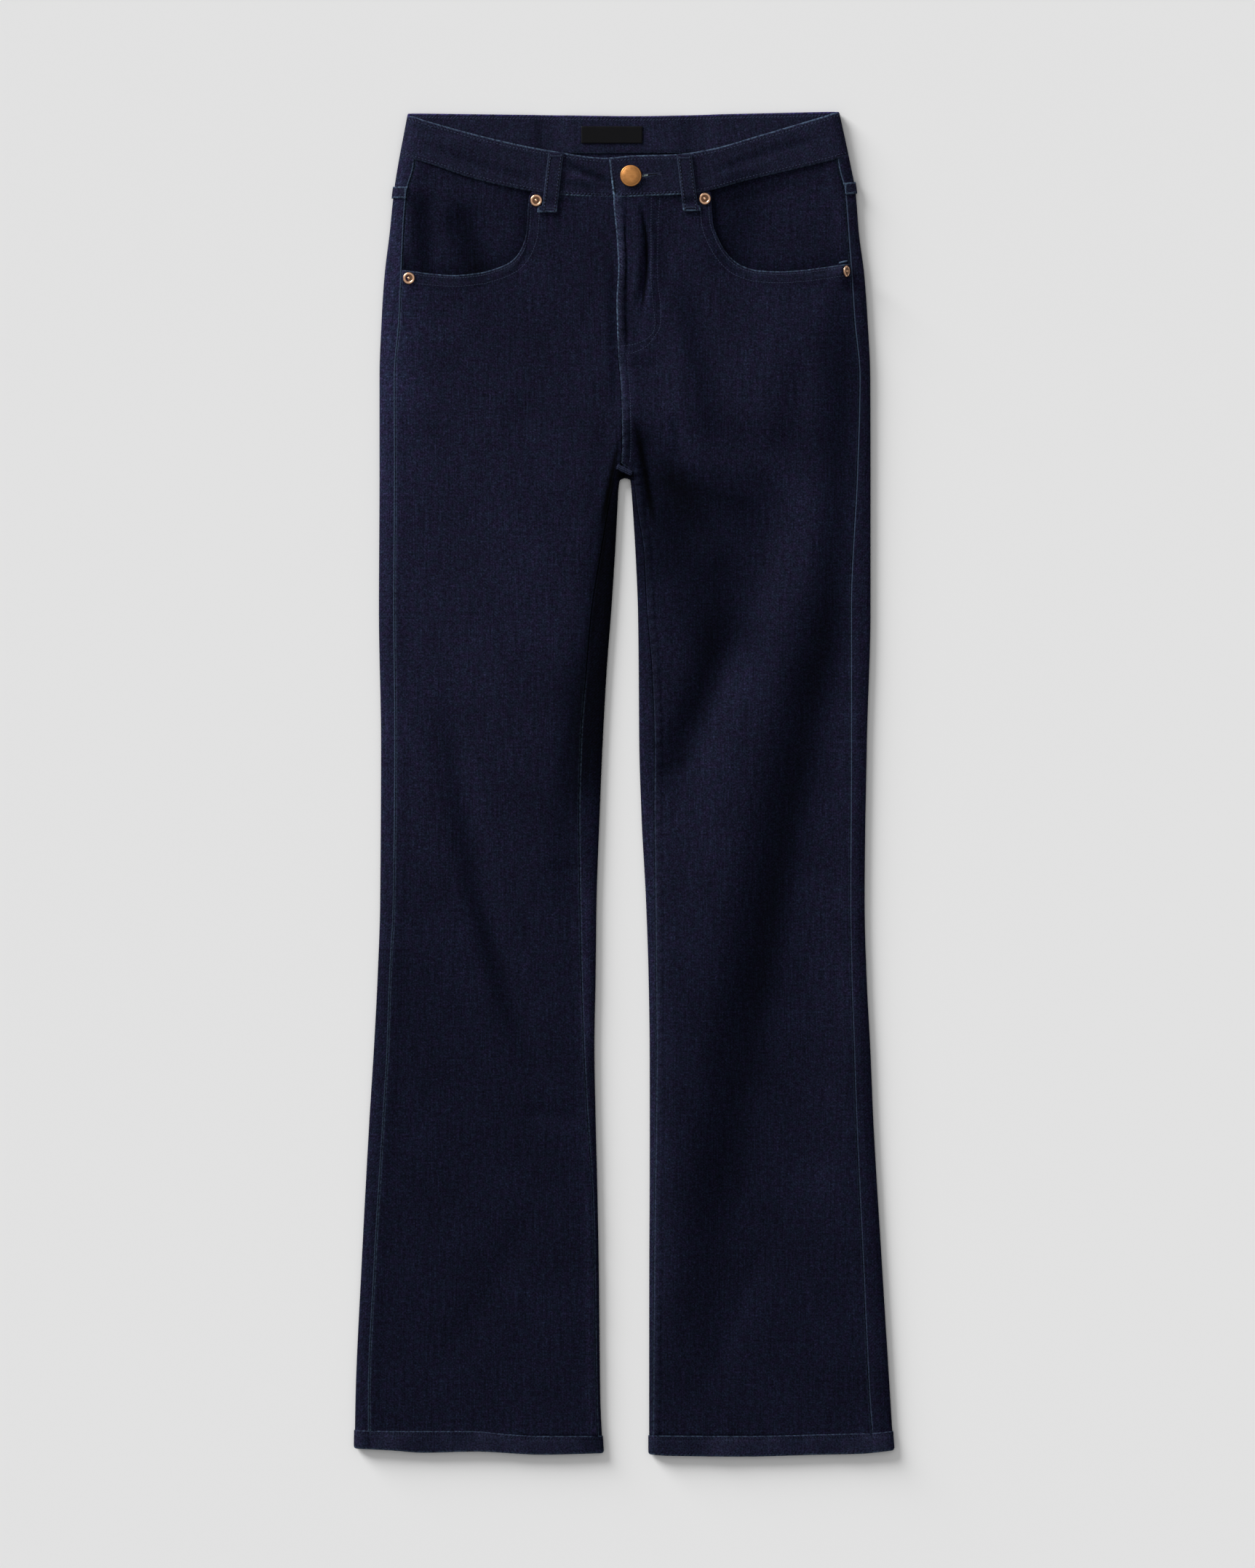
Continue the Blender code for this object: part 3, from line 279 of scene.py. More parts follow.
# Painted light and shade of the folds, creases and recesses: soft patches painted paler (tone > 0) or darker
# (tone < 0)
PAINTED_FOLD_LIGHT_AND_SHADE = (
    # name, x0, y0, x1, y1, bow, tone, left, right
    ("left_fold_top", 156, 40, 180, 440, 4, -0.66, 15, 14),
    ("left_fold_middle", 94, -230, 172, 190, 0, -0.94, 17, 14),
    ("left_fold_low", 48, -530, 114, -120, 0, -0.26, 19, 15),
    ("left_fold_halo", 60, -400, 160, 120, 0, -0.2, 34, 22),
    ("left_crotch_fan", 0, 300, 66, 206, 0, -0.4, 12, 12),
    ("left_crotch_fan_edge", 20, 246, 140, 246, 0, -0.25, 10, 30),
    ("left_crotch_crease", 24.6, 206, 8, 298, 0, -1.8, 2.4, 2.4),
    ("left_crotch_band", 8, 264, 60, 248, 0, -0.25, 5, 5),
    ("left_crotch_low_band", 4, 252, 116, 220, 0, -0.4, 7, 7),
    ("left_thigh_upper_fill", 58, 240, 86, 116, 0, -0.42, 18, 16),
    ("left_crotch_short", 41, 258, 36, 302, 0, -0.5, 3, 4),
    ("left_thigh_fill", 36, 262, 70, 84, 0, -0.5, 24, 22),
    ("left_thigh_hollow", 26, -20, 81, 150, 3, -0.85, 14, 14),
    ("left_thigh_shade", 88, 80, 106, 262, 0, -0.3, 34, 18),
    ("left_ridge_shade", 72, -50, 118, 150, 0, -0.2, 16, 12),
    ("left_inner_shade", 26, 150, 44, 280, 0, -0.35, 14, 20),
    ("left_thigh_light", 60, -90, 148, 290, 0, 0.08, 12, 14),
    ("left_ridge_light", 144, 130, 148, 260, 0, 0.1, 8, 8),
    ("left_inseam_light", 22, -500, 20, 30, 0, 0.34, 5, 8),
    ("left_calf_side", 168, -400, 178, -100, 0, 0.1, 13, 12),
    ("left_fly_drag", 74, 262, 42, 420, 0, -0.42, 10, 10),
    ("left_fly_shade", 20, 390, 20, 478, 0, -0.2, 8, 8),
    ("left_fly_pucker", 10.2, 372, 11.2, 470, 7.5, -2.2, 1.1, 1.3),
    ("left_fly_groove", 2, 330, 0, 492, 0, -1.7, 0.9, 1.2),
    ("left_fly_light", 0, 396, -3, 496, 0, 0.28, 4, 4),
    ("left_fly_j_light", 12, 346, 28, 426, 0, 0.25, 5, 4),
    ("centre_light", 0, 288, 0, 366, 0, 0.5, 4.5, 5),
    ("fly_top_light", -2, 400, -3, 492, 0, 0.4, 4.5, 4.5),
    ("right_fly_shade", -8.6, 296, -12, 428, 0, -0.6, 3, 3),
    ("crotch_shade", -8, 248.6, 9, 248.6, 0, -2.4, 3.2, 2.4),
    ("band_right_pull", -50, 503, -6, 484, 1, -0.8, 1.8, 2.2),
    ("band_right_pull_low", -54, 486, -6, 482, 1, -0.5, 2.4, 2.6),
    ("band_right_pull_light", -50, 495, -10, 482, 1, 0.3, 1.8, 2),
    ("band_right_long", -156, 514, -64, 487, 3, -0.35, 2.6, 3.4),
    ("band_left_long", 64, 489, 164, 521, -3, -0.35, 3, 3),
    ("left_calf_light", 152, -420, 176, -10, 0, 0.18, 26, 20),
    ("right_inner_thigh", -42, -44, 2, 290, 2, -1.45, 15, 24),
    ("right_inseam_dark", -30, 90, -8, 270, 0, -1, 1.8, 2.4),
    ("right_groin_crease", -19, 206, -3.6, 280, 0, -2.4, 1.4, 1.5),
    ("right_inner_edge", -22, -100, -8, 270, 0, -0.5, 6, 8),
    ("right_inner_knee", -56, -120, -34, 130, 0, -0.4, 14, 18),
    ("right_inseam_light", -30, -240, -31, -50, 0, 0.55, 5, 6),
    ("right_inseam_low", -24, -580, -31, -150, 0, 0.3, 5, 6),
    ("right_long_valley", -82, -235, -152, 120, -10, -0.4, 7, 8),
    ("right_thigh_light", -86, 70, -62, 300, 0, 0.18, 46, 32),
    ("right_side_light", -180, -100, -178, 470, 0, 0.2, 20, 30),
    ("right_hip_light", -192, 130, -186, 560, 0, 0.28, 20, 16),
    ("right_top_light", -180, 250, -170, 580, 0, 0.24, 14, 16),
    ("facing_right_side", -162, 396, -162, 484, 0, -0.85, 8, 8),
    ("facing_right_mouth", -116, 398, -136, 476, 0, -0.95, 12, 11),
    ("facing_left_mouth", 80, 404, 98, 506, 0, -0.62, 15, 18),
)
# Small creases of the front waistband, along it and low
BAND_CREASES = (
    # name, x0, y0, x1, y1, bow, rise, left, right
    ("band_right_long", -156, 514, -58, 485, 3, -0.9, 2.6, 3.6),
    ("band_right_upper", -174, 522, -100, 512, 2, 0.7, 3, 3),
    ("band_right_low", -134, 500, -84, 486, 1, 0.6, 2.4, 2.8),
    ("band_right_pull", -48, 500, -12, 481, 2, -1, 2.2, 3),
    ("band_right_pull_low", -46, 491, -14, 477, 1, 0.8, 2.4, 2.4),
    ("band_left_long", 66, 489, 164, 521, -3, -0.9, 3, 3),
    ("band_left_low", 60, 482, 124, 499, -2, 0.6, 3, 3),
    ("band_tab", 14, 482, 40, 496, 1, -0.5, 2.4, 2.4),
)
# Soft valleys of the pocket facings
FACING_CREASES = (
    # name, x0, y0, x1, y1, bow, rise, left, right
    ("facing_right_side", -156, 412, -164, 480, 2, -1, 8, 8),
    ("facing_right_mouth", -116, 416, -140, 462, -4, -1, 12, 10),
    ("facing_left_top", 74, 462, 150, 482, -3, -0.8, 6, 6),
)
# Mouths of the two front pockets, from the waistband seam down and out to the outseam
POCKET_MOUTH = {
    # x, y
    -1: (
        (-76.4, 474), (-77.4, 463.5), (-78.6, 444.5), (-82.6, 431.3), (-90.2, 421.3), (-102.6, 415.2),
        (-117.2, 411.4), (-137.1, 409.6), (-155.3, 410.8), (-170.5, 412.8), (-178.9, 413.8),
    ),
    1: (
        (70.2, 476), (70.3, 466), (71.2, 453), (75.6, 439.5), (83.8, 426), (94.3, 417.4),
        (107.8, 413.4), (124.2, 412.5), (144.2, 413.7), (164.1, 416.4), (175.2, 417.8), (182.2, 418.4),
    ),
}
# Waistband edges: on the top side they dip at the centre front, on the lying side they are nearly straight
BAND_FRONT_TOP = (
    # x, y
    (-173.5, 538), (-137, 527.4), (-100, 518), (-63, 510.4), (-13.5, 504), (7, 505.8), (40, 506.6),
    (67.5, 510.6), (111, 522.7), (150.5, 534.4), (172.5, 540.8),
)
BAND_FRONT_LOW = (
    # x, y
    (-181, 505), (-161.5, 500.4), (-125, 488.2), (-100, 481.8), (-75, 477), (-50, 473.8), (-9, 472),
    (26, 473.4), (44, 474.2), (62, 476.2), (97, 485.2), (137, 494.6), (180.5, 505),
)
BAND_BACK_TOP = (
    # x, y
    (-174, 540), (-60, 538.6), (10, 537.8), (90, 539.6), (172.5, 541.4),
)
BAND_BACK_LOW = (
    # x, y
    (-181, 505), (-60, 507.2), (10, 507.6), (90, 507.4), (180.5, 505),
)
# Belt loops: centre of the upper and of the lower end
LOOPS = (
    # name, x_top, y_top, x_low, y_low, top_side
    ("belt_loop_front_right", -54.8, 508.2, -60.4, 460, True),
    ("belt_loop_front_left", 48.2, 506.6, 53.6, 461, True),
    ("belt_loop_side_right", -118, 538, -119.5, 488, False),
    ("belt_loop_side_left", 118, 538.6, 119.5, 488, False),
    ("belt_loop_back", 0, 537, 0, 487, False),
)
# Patch pockets on the seat, corners measured out from the seat seam
BACK_POCKET = (
    # out, y
    (26, 424), (152, 434), (147, 312), (90, 290), (34, 303),
)
# The two rows of the fly's J, from the waistband down to the lapped edge
FLY_J = (
    # x, y
    (
        (21.8, 472), (21.6, 446.5), (21.6, 409), (23.6, 382.7), (24.8, 371.5), (24, 365.1),
        (15.8, 356.9), (2.3, 352.8), (-5, 352.2),
    ),
    (
        (28.6, 472), (27.2, 446.5), (26.9, 409), (29.5, 380), (28.7, 368), (24.6, 360.4), (17, 351.6),
        (3.5, 346.3), (-4, 345.8),
    ),
)
# The row of each hem
HEM_ROW = {
    # x, y
    -1: (
        (-216.8, -523.1), (-186.3, -523.9), (-123.6, -523.9), (-92.6, -526.5), (-66.2, -527.8),
        (-17.6, -527.8),
    ),
    1: (
        (20, -527.4), (94.9, -527.8), (157.6, -526.5), (198.1, -525.4), (216.8, -523.9),
    ),
}
# The lower edge of each hem
HEM_EDGE = {
    # x, y
    -1: (
        (-217, -535), (-190, -536.3), (-161, -538.3), (-120, -537.4), (-67, -539.9), (-17, -538.8),
    ),
    1: (
        (20, -539.7), (36, -540.9), (96, -541.5), (150, -540.1), (190, -539.2), (217, -536.5),
    ),
}
MOUTH_END = {-1: 413.8, 1: 418.4}
# How far the turned-under end of a front loop sticks out sideways
LOOP_LEDGE = {"belt_loop_front_right": -3.4, "belt_loop_front_left": 1.8}
# The corner of the left pocket mouth stands up in a short ridge under its rivet
CORNER_RIDGE = {"x": 174.6, "y": 414, "rise": 4.6, "across": 6, "along": 12}
# The pale turned lip at the corner of the left pocket mouth
POCKET_LIP = ((171.6, 419), (181.4, 421.6))
# Slanting buttonhole beside the button: both ends of its slit
BUTTONHOLE = ((14.4, 489), (29.6, 491.3))
# The seam allowances rolled up where the legs part
CROTCH_ROLL = ((-6.2, 255.8), (6.6, 249.6))
ROLL_WIDTH = 5
ROLL_HEIGHT = 3
# Domed shank button with a rolled rim, and rivets with a raised ring round a nipple
BUTTON_PROFILE = (
    # radius, height
    (0, 3.5), (3.9, 3.25), (6.6, 2.6), (7.7, 2.2), (8.2, 2.15), (8.65, 1.6), (8.5, 0.8), (7.9, 0.4),
    (3.5, 0), (0, 0),
)
RIVET_PROFILE = (
    # radius, height
    (0, 1.6), (0.7, 1.5), (1.15, 1.1), (1.5, 0.4), (2.2, 0.35), (2.8, 0.8), (3.5, 1.2), (4.3, 1.05),
    (4.8, 0.5), (4.7, 0.05), (0, 0),
)
RIVET_GROOVE = (1.2, 2.7)
METAL = (
    # node, outline, material, slot, tarnished groove, tilt in degrees, shift on the cloth
    ("button", BUTTON_PROFILE, "brass", "button_brass", (0, 0), 0, (0, 0)),
    ("rivet_1", RIVET_PROFILE, "rose", "rivet_metal", RIVET_GROOVE, 0, (0, 0)),
    ("rivet_2", RIVET_PROFILE, "rose", "rivet_metal", RIVET_GROOVE, -4, (0, 0)),
    ("rivet_3", RIVET_PROFILE, "rose", "rivet_metal", RIVET_GROOVE, 0, (0, 0)),
    ("rivet_4", RIVET_PROFILE, "rose", "rivet_metal", RIVET_GROOVE, 60, (-0.8, -0.8)),
)
METAL_SINK = 0.2
PROFILE_STEPS = 44
SPIN_STEPS = 64
# Cut sizes in metres: width, length and, where the cut is no rectangle, area
CUTS = {
    "front_right": (0.206, 1.01, 0.178),
    "front_left": (0.206, 1.01, 0.178),
    "back_right": (0.245, 1.01, 0.215),
    "back_left": (0.245, 1.01, 0.215),
    "yoke_right": (0.2, 0.062, 0.0088),
    "yoke_left": (0.2, 0.062, 0.0088),
    "pocket_facing_right": (0.13, 0.1, 0.0085),
    "pocket_facing_left": (0.14, 0.1, 0.0085),
    "waistband": (0.79, 0.033, None),
    "hem_right": (0.41, 0.0155, None),
    "hem_left": (0.41, 0.016, None),
    "back_pocket_right": (0.127, 0.144, 0.0150),
    "back_pocket_left": (0.127, 0.144, 0.0150),
    "label": (0.0493, 0.0138, None),
    "fly_shield": (0.044, 0.12, None),
    "zip": (0.026, 0.112, None),
    "yoke_fell_right": (0.0104, 0.2, None),
    "yoke_fell_left": (0.0104, 0.2, None),
    "seat_fell": (0.0104, 0.25, None),
    "crotch_roll": (0.0155, 0.01, 0.0001),
    **{row[0]: (0.0125, 0.05, None) for row in LOOPS},
}
# What the colour's red, green and blue are multiplied by where painted fold shade darkens it
PAINTED_SHADE_TINT = (0.86, 0.97, 1.08)

# Light and camera: the sky is lighter towards the window and straight above
SUN_POWER = 4.95
SUN_WIDTH = 29
SUN_ELEVATION = 17.5
SUN_AZIMUTH = 135
SKY_POWER = 0.3
SKY_SLANT = 0.6
SKY_TOP = 0.7
SKY_TOP_FOCUS = 6
FLOOR_SIZE = 6
SENSOR_WIDTH = 36
CAMERA_X = 0.0026
CAMERA_HEIGHT = 9
VIEW_HEIGHT = 1.263


# --- Curves ---------------------------------------------------------------------------------------


def linear(hex_colour):
    """A colour of an sRGB hex value, as the linear numbers that a shader takes."""
    channels = [int(hex_colour[i : i + 2], 16) / 255.0 for i in (1, 3, 5)]
    return tuple(c / 12.92 if c <= 0.04045 else ((c + 0.055) / 1.055) ** 2.4 for c in channels)


def size_in_mm(word):
    """One of the add-on's sizes."""
    return getattr(bpy.context.scene.jeans_sizes, word) * 1000.0


def ease(value):
    """0 below 0, 1 above 1, and a smooth step between."""
    t = np.clip(value, 0.0, 1.0)
    return t * t * (3.0 - 2.0 * t)


def bell(distance, width):
    """1 at a line and fading to 0 on both sides of it."""
    return np.exp(-((distance / width) ** 2))


def smooth_curve(rows, column=1):
    """A function through (t, value) rows, smooth, with no overshoot between two rows."""
    rows = sorted(rows)
    t = np.array([row[0] for row in rows], dtype=float)
    v = np.array([row[column] for row in rows], dtype=float)
    slope = np.diff(v) / np.diff(t)
    before, after = slope[:-1], slope[1:]
    tangent = np.zeros(len(v))
    tangent[0], tangent[-1] = slope[0], slope[-1]
    same_way = before * after > 0.0
    tangent[1:-1] = np.where(same_way, 2.0 * before * after / np.where(same_way, before + after, 1.0), 0.0)

    def at(x):
        x = np.clip(x, t[0], t[-1])
        i = np.clip(np.searchsorted(t, x, side="right") - 1, 0, len(t) - 2)
        step = t[i + 1] - t[i]
        u = (x - t[i]) / step
        start = (1.0 + 2.0 * u) * (1.0 - u) ** 2 * v[i] + u * (1.0 - u) ** 2 * step * tangent[i]
        return start + u * u * (3.0 - 2.0 * u) * v[i + 1] - u * u * (1.0 - u) * step * tangent[i + 1]

    return at


OUTER = {-1: smooth_curve(SIDES, 1), 1: smooth_curve(SIDES, 4)}
OUTSEAM = {-1: smooth_curve(SIDES, 2), 1: smooth_curve(SIDES, 3)}
INSEAM = {-1: smooth_curve(INNER, 1), 1: smooth_curve(INNER, 4)}
INNER_EDGE = {-1: smooth_curve(INNER, 2), 1: smooth_curve(INNER, 3)}
CENTRE = smooth_curve(CENTRE_FRONT)
HEIGHT = smooth_curve(LOFT, 1)
OUTER_ROUND = {-1: smooth_curve(LOFT, 2), 1: smooth_curve(LOFT, 5)}
INNER_ROUND = {-1: smooth_curve(LOFT, 3), 1: smooth_curve(LOFT, 4)}
FRONT_TOP = smooth_curve(BAND_FRONT_TOP)
FRONT_LOW = smooth_curve(BAND_FRONT_LOW)
BACK_TOP = smooth_curve(BAND_BACK_TOP)
BACK_LOW = smooth_curve(BAND_BACK_LOW)
HEM_LOW = {side: smooth_curve(HEM_EDGE[side]) for side in (-1, 1)}
HEM_ROW_LEVEL = {side: smooth_curve(HEM_ROW[side]) for side in (-1, 1)}


def round_over(distance, width):
    """Quarter of an ellipse: 0 at an edge, 1 from width inwards."""
    q = 1.0 - np.clip(distance / width, 0.0, 1.0)
    return np.sqrt(1.0 - q * q)


def edge_roll(distance, radius=SEAM_ROLL):
    """How far cloth drops where its folded edge rolls under."""
    return -radius * (1.0 - round_over(distance, radius))


def wander(along, seed):
    """A slow uneven wave of about -1 to 1, the same on every run."""
    waves = ((9.7, 1.0, 1.0), (5.3, 2.1, 0.7), (3.1, 4.7, 0.5))
    return sum(share * np.sin(along / length + turn * seed) for length, turn, share in waves) / 2.2


def fold_sum(folds, x, y):
    """Sum of ridges and troughs at points of the top side."""
    total = np.zeros(np.broadcast(x, y).shape)
    for _, x0, y0, x1, y1, bow, rise, left, right in folds:
        length = math.hypot(x1 - x0, y1 - y0)
        along_x, along_y = (x1 - x0) / length, (y1 - y0) / length
        t = ((x - x0) * along_x + (y - y0) * along_y) / length
        inside = np.clip(t, 0.0, 1.0)
        side = (x - x0) * along_y - (y - y0) * along_x - 4.0 * bow * inside * (1.0 - inside)
        ends = ease(t / FOLD_END) * ease((1.0 - t) / FOLD_END)
        total += rise * ends * bell(side, np.where(side > 0.0, right, left))
    return total


def painted_light_and_shade(x, y):
    """Painted light and shade of the folds, and painted shade deepening down the lower legs: how much paler
    (> 1) or darker (< 1) than plain the cloth is painted.
    """
    return np.exp(fold_sum(PAINTED_FOLD_LIGHT_AND_SHADE, x, y) + CALF_PAINTED_SHADE * ease((60.0 - y) / CALF_RUN))


def inner_distance(x, y, side):
    """How far points are from the inner edge of a leg, or from the top of the gap between the legs."""
    edge_y = np.minimum(y, CROTCH_BACK)
    across = np.maximum(0.0, side * (x - INNER_EDGE[side](edge_y)))
    return np.hypot(across, y - edge_y)


def side_height(x, y, side):
    """Height of the outer face of the top side on one side of the centre front."""
    outer = np.maximum(0.0, side * (OUTER[side](y) - x))
    inner = inner_distance(x, y, side)
    half = HEIGHT(y) / 2.0
    rounded = round_over(outer, OUTER_ROUND[side](y)) * round_over(inner, INNER_ROUND[side](y))
    fade = ease(outer / FOLD_EDGE) * ease((inner + 4.0) / FOLD_EDGE) * ease((FOLD_TOP - y) / FOLD_TOP_RUN)
    return half + half * rounded + fade * fold_sum(FOLDS, x, y)


def rectangle_distance(x, y, low, high):
    """Distance from points to an upright rectangle, 0 inside it."""
    across = np.maximum(np.maximum(low[0] - x, x - high[0]), 0.0)
    along = np.maximum(np.maximum(low[1] - y, y - high[1]), 0.0)
    return np.hypot(across, along)


def yoke_seam(x):
    """Level of the yoke seam across the lying side: a shallow V that points down at the seat seam."""
    out = np.minimum(np.abs(x) / YOKE_SEAM_RUN, 1.0)
    return YOKE_SEAM_CENTRE + (YOKE_SEAM_SIDE - YOKE_SEAM_CENTRE) * out


def under_lift(x, y):
    """How far the lying side is held off the surface by what is sewn under it."""
    gaps = []
    for _, x_top, y_top, x_low, y_low, top_side in LOOPS:
        if not top_side:
            low = (min(x_top, x_low) - LOOP_WIDTH / 2.0, y_low)
            high = (max(x_top, x_low) + LOOP_WIDTH / 2.0, y_top)
            gaps.append((LOOP_CLOTH + UNDER_CLEAR, rectangle_distance(x, y, low, high), UNDER_MARGIN))
    outs, levels = zip(*BACK_POCKET)
    pocket_gap = rectangle_distance(np.abs(x), y, (min(outs), min(levels)), (max(outs), max(levels)))
    gaps.append((CLOTH + UNDER_CLEAR, pocket_gap, UNDER_MARGIN))
    gaps.append((FELL_CLOTH, np.abs(y - yoke_seam(x)), FELL_WIDTH / 2.0 + 1.0))
    seat_gap = np.hypot(x, np.minimum(0.0, y - CROTCH_FRONT))
    gaps.append((FELL_CLOTH, seat_gap, FELL_WIDTH / 2.0 + 1.0))
    return np.maximum.reduce([lift * ease(1.0 - (gap - flat) / UNDER_RAMP) for lift, gap, flat in gaps])


def corner_ridge(x, y):
    """The short ridge at the corner of the left pocket mouth."""
    across = bell(x - CORNER_RIDGE["x"], CORNER_RIDGE["across"])
    along = bell(y - CORNER_RIDGE["y"], CORNER_RIDGE["along"])
    return CORNER_RIDGE["rise"] * across * along * ease((OUTSEAM[1](y) - x) / 3.0)


def fly_lift(x, y):
    """How far the left front is raised where it laps over the right one."""
    across = ease(1.0 - (x - CENTRE(y) - FLY_LIFT_FLAT) / (FLY_LIFT_END - FLY_LIFT_FLAT))
    return FLY_LIFT * across * ease((y - FLY_BOTTOM + 18.0) / 12.0)


def band_step(x, side):
    """The lap at the button: the upper end is raised, the end under it is lowered."""
    if side > 0:
        return TAB_STEP * ease(1.0 - (x - TAB_FLAT) / TAB_FADE)
    return -TAB_STEP * ease((x - UNDER_LAP_START) / UNDER_LAP_RUN)


def turned_up(side, x, y):
    """1 on the turned-up hem, which starts a little above its row of stitches, and 0 above it."""
    return ease((HEM_ROW_LEVEL[side](x) + HEM_RIM + 0.4 - y) / 1.2)


def hem_pucker(side, x, y):
    """Uneven slanting puckers of the hem."""
    below = HEM_ROW_LEVEL[side](x) - y
    coarse = wander(x * 0.55 + 0.35 * below, 1.5 + side)
    return 0.34 * coarse + 0.16 * wander(x * 1.3 - 0.6 * below, 3.5 + side)


def leg_tone_and_painted_shade(side, x, y):
    """How pale the cloth of a leg is painted: on its panels the painted light and shade of the folds, on its
    hem an even tone mottled along its puckers.
    """
    on_hem = turned_up(side, x, y)
    return painted_light_and_shade(x, y) * (1.0 - on_hem) + HEM_TONE * (1.0 + 0.9 * hem_pucker(side, x, y)) * on_hem


def hem_low(side, x, ends):
    """The lower edge of a hem, with both corners rounded."""
    from_end = np.minimum(np.abs(x - ends[0]), np.abs(x - ends[1]))
    return HEM_LOW[side](x) + HEM_CORNER * (1.0 - round_over(from_end, HEM_CORNER))


# --- Meshes ---------------------------------------------------------------------------------------


def lengths_along(points, axis):
    """Distance run along an axis of a grid of points, starting from 0."""
    steps = np.linalg.norm(np.diff(points, axis=axis), axis=2)
    start = np.zeros_like(np.take(steps, [0], axis=axis))
    return np.concatenate([start, np.cumsum(steps, axis=axis)], axis=axis)


def run_along(line):
    """Distance run along a line of points, starting from 0."""
    return lengths_along(np.asarray(line, dtype=float)[None], 1)[0]


def points_at(places, run, line):
    """Points of a line at distances run along it."""
    return np.stack([np.interp(places, run, line[:, i]) for i in (0, 1)], axis=-1)


def place_on_grid(name, points, cloth, flip=False):
    """A mesh with a vertex for each point of a grid (rows, columns, 3) in millimetres.

    cloth is the weave's own coordinates (rows, columns, 2) in millimetres, across and along."""
    rows, columns = points.shape[:2]
    bm = bmesh.new()
    bmesh.ops.create_grid(bm, x_segments=columns - 1, y_segments=rows - 1, size=1.0)
    if flip:
        bmesh.ops.reverse_faces(bm, faces=bm.faces)
    mesh = bpy.data.meshes.new(name)
    bm.to_mesh(mesh)
    bm.free()
    flat = np.empty(len(mesh.vertices) * 3)
    mesh.vertices.foreach_get("co", flat)
    flat = flat.reshape(-1, 3)
    column = np.rint((flat[:, 0] + 1.0) / 2.0 * (columns - 1)).astype(int)
    row = np.rint((flat[:, 1] + 1.0) / 2.0 * (rows - 1)).astype(int)
    mesh.vertices.foreach_set("co", (points[row, column] * MM).ravel())
    set_uv(mesh, "cloth", cloth[row, column])
    mesh.update()
    return mesh, (row, column)


def set_uv(mesh, name, values):
    """A UV map from one pair of numbers for each vertex."""
    corner = np.empty(len(mesh.loops), dtype=np.int32)
    mesh.loops.foreach_get("vertex_index", corner)
    layer = mesh.uv_layers.new(name=name)
    layer.uv.foreach_set("vector", values[corner].astype(np.float32).ravel())


def set_number(mesh, name, values):
    """A number for each vertex, for the shader."""
    attribute = mesh.attributes.new(name, "FLOAT", "POINT")
    attribute.data.foreach_set("value", np.asarray(values, dtype=np.float32).ravel())


def seam_data(mesh, index, distance, along, wear, band, fade):
    """What the denim's shader needs to know: how far the nearest edge is, how far along it, how much that
    edge is worn, where the cloth is double, and how much paler or darker than plain it is painted, with the
    painted light and shade of the folds in that last number."""
    set_uv(mesh, "seam", np.stack([distance, along], axis=-1)[index])
    for name, values in (("wear", wear), ("band", band), ("fade", fade)):
        set_number(mesh, name, np.broadcast_to(values, distance.shape)[index])


def link(mesh):
    """An object of the garment, with the name of its mesh."""
    obj = bpy.data.objects.new(mesh.name, mesh)
    bpy.context.scene.collection.objects.link(obj)
    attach(obj, BODY)
    return obj


def finished(mesh, kind="denim", *, wall=0.0, outwards=False, closed=False, fill_ends=False):
    """A mesh as an object of the garment, merged, smooth and with its wall."""
    bm = bmesh.new()
    bm.from_mesh(mesh)
    if closed:
        bmesh.ops.remove_doubles(bm, verts=bm.verts, dist=MERGE * MM)
    if fill_ends:
        bmesh.ops.holes_fill(bm, edges=[edge for edge in bm.edges if edge.is_boundary])
    bm.to_mesh(mesh)
    bm.free()
    mesh.materials.append(material(kind))
    mesh.shade_smooth()
    obj = link(mesh)
    if wall:
        shell = obj.modifiers.new("wall", "SOLIDIFY")
        shell.thickness = wall * MM
        shell.offset = 1.0 if outwards else -1.0
    return obj


def columns_across(width, first, last, count):
    """Places over each row's width: close together at both edges, evenly spaced between."""
    first, last = np.array(first), np.array(last)
    width = np.asarray(width, dtype=float)[:, None]
    middle = first[-1] + (width - first[-1] - last[-1]) * np.linspace(0.0, 1.0, count + 1)[None, 1:-1]
    return np.hstack([np.repeat(first[None, :], len(width), axis=0), middle, width - last[::-1][None, :]])


def spaced(start, end, step):
    """Levels from start to end, evenly spaced by about step."""
    count = max(1, round(abs(end - start) / step))
    return np.linspace(start, end, count + 1)


def polyline(points, shares):
    """Points at shares of the length of a smooth line through points."""
    run = run_along(points)
    place = np.asarray(shares) * run[-1]
    curves = [smooth_curve([(r, point[i]) for r, point in zip(run, points)]) for i in (0, 1)]
    return np.stack([curve(place) for curve in curves], axis=-1)


def offset_line(points, distance, side, count=90):
    """A line beside another one, towards the front panel of a side."""
    line = polyline(points, np.linspace(0.0, 1.0, count))
    tangent = np.gradient(line, axis=0)
    tangent /= np.linalg.norm(tangent, axis=1)[:, None]
    return line + distance * side * np.stack([tangent[:, 1], -tangent[:, 0]], axis=-1)


def coons(low, high, start, end):
    """A grid (rows, columns, 2) between four edges: the low and high row, and both end columns."""
    u, w = run_along(low), run_along(start)
    u = (u / u[-1])[None, :, None]
    w = (w / w[-1])[:, None, None]
    rows = (1.0 - w) * low + w * high
    ends = (1.0 - u) * start[:, None] + u * end[:, None]
    corners = (1.0 - w) * ((1.0 - u) * low[0] + u * low[-1]) + w * ((1.0 - u) * high[0] + u * high[-1])
    return rows + ends - corners


def seam_relief(distance, y, seed, reach=0.0, pucker=PUCKER):
    """Rolled edge, puckers and, up to reach, the rise of the allowances, on cloth beside a seam."""
    raised = SEAM_RIDGE * ease((reach - distance) / SEAM_RAMP)
    return edge_roll(distance) + raised + pucker * wander(y, seed) * np.exp(-distance / PUCKER_REACH)


# --- Front ----------------------------------------------------------------------------------------


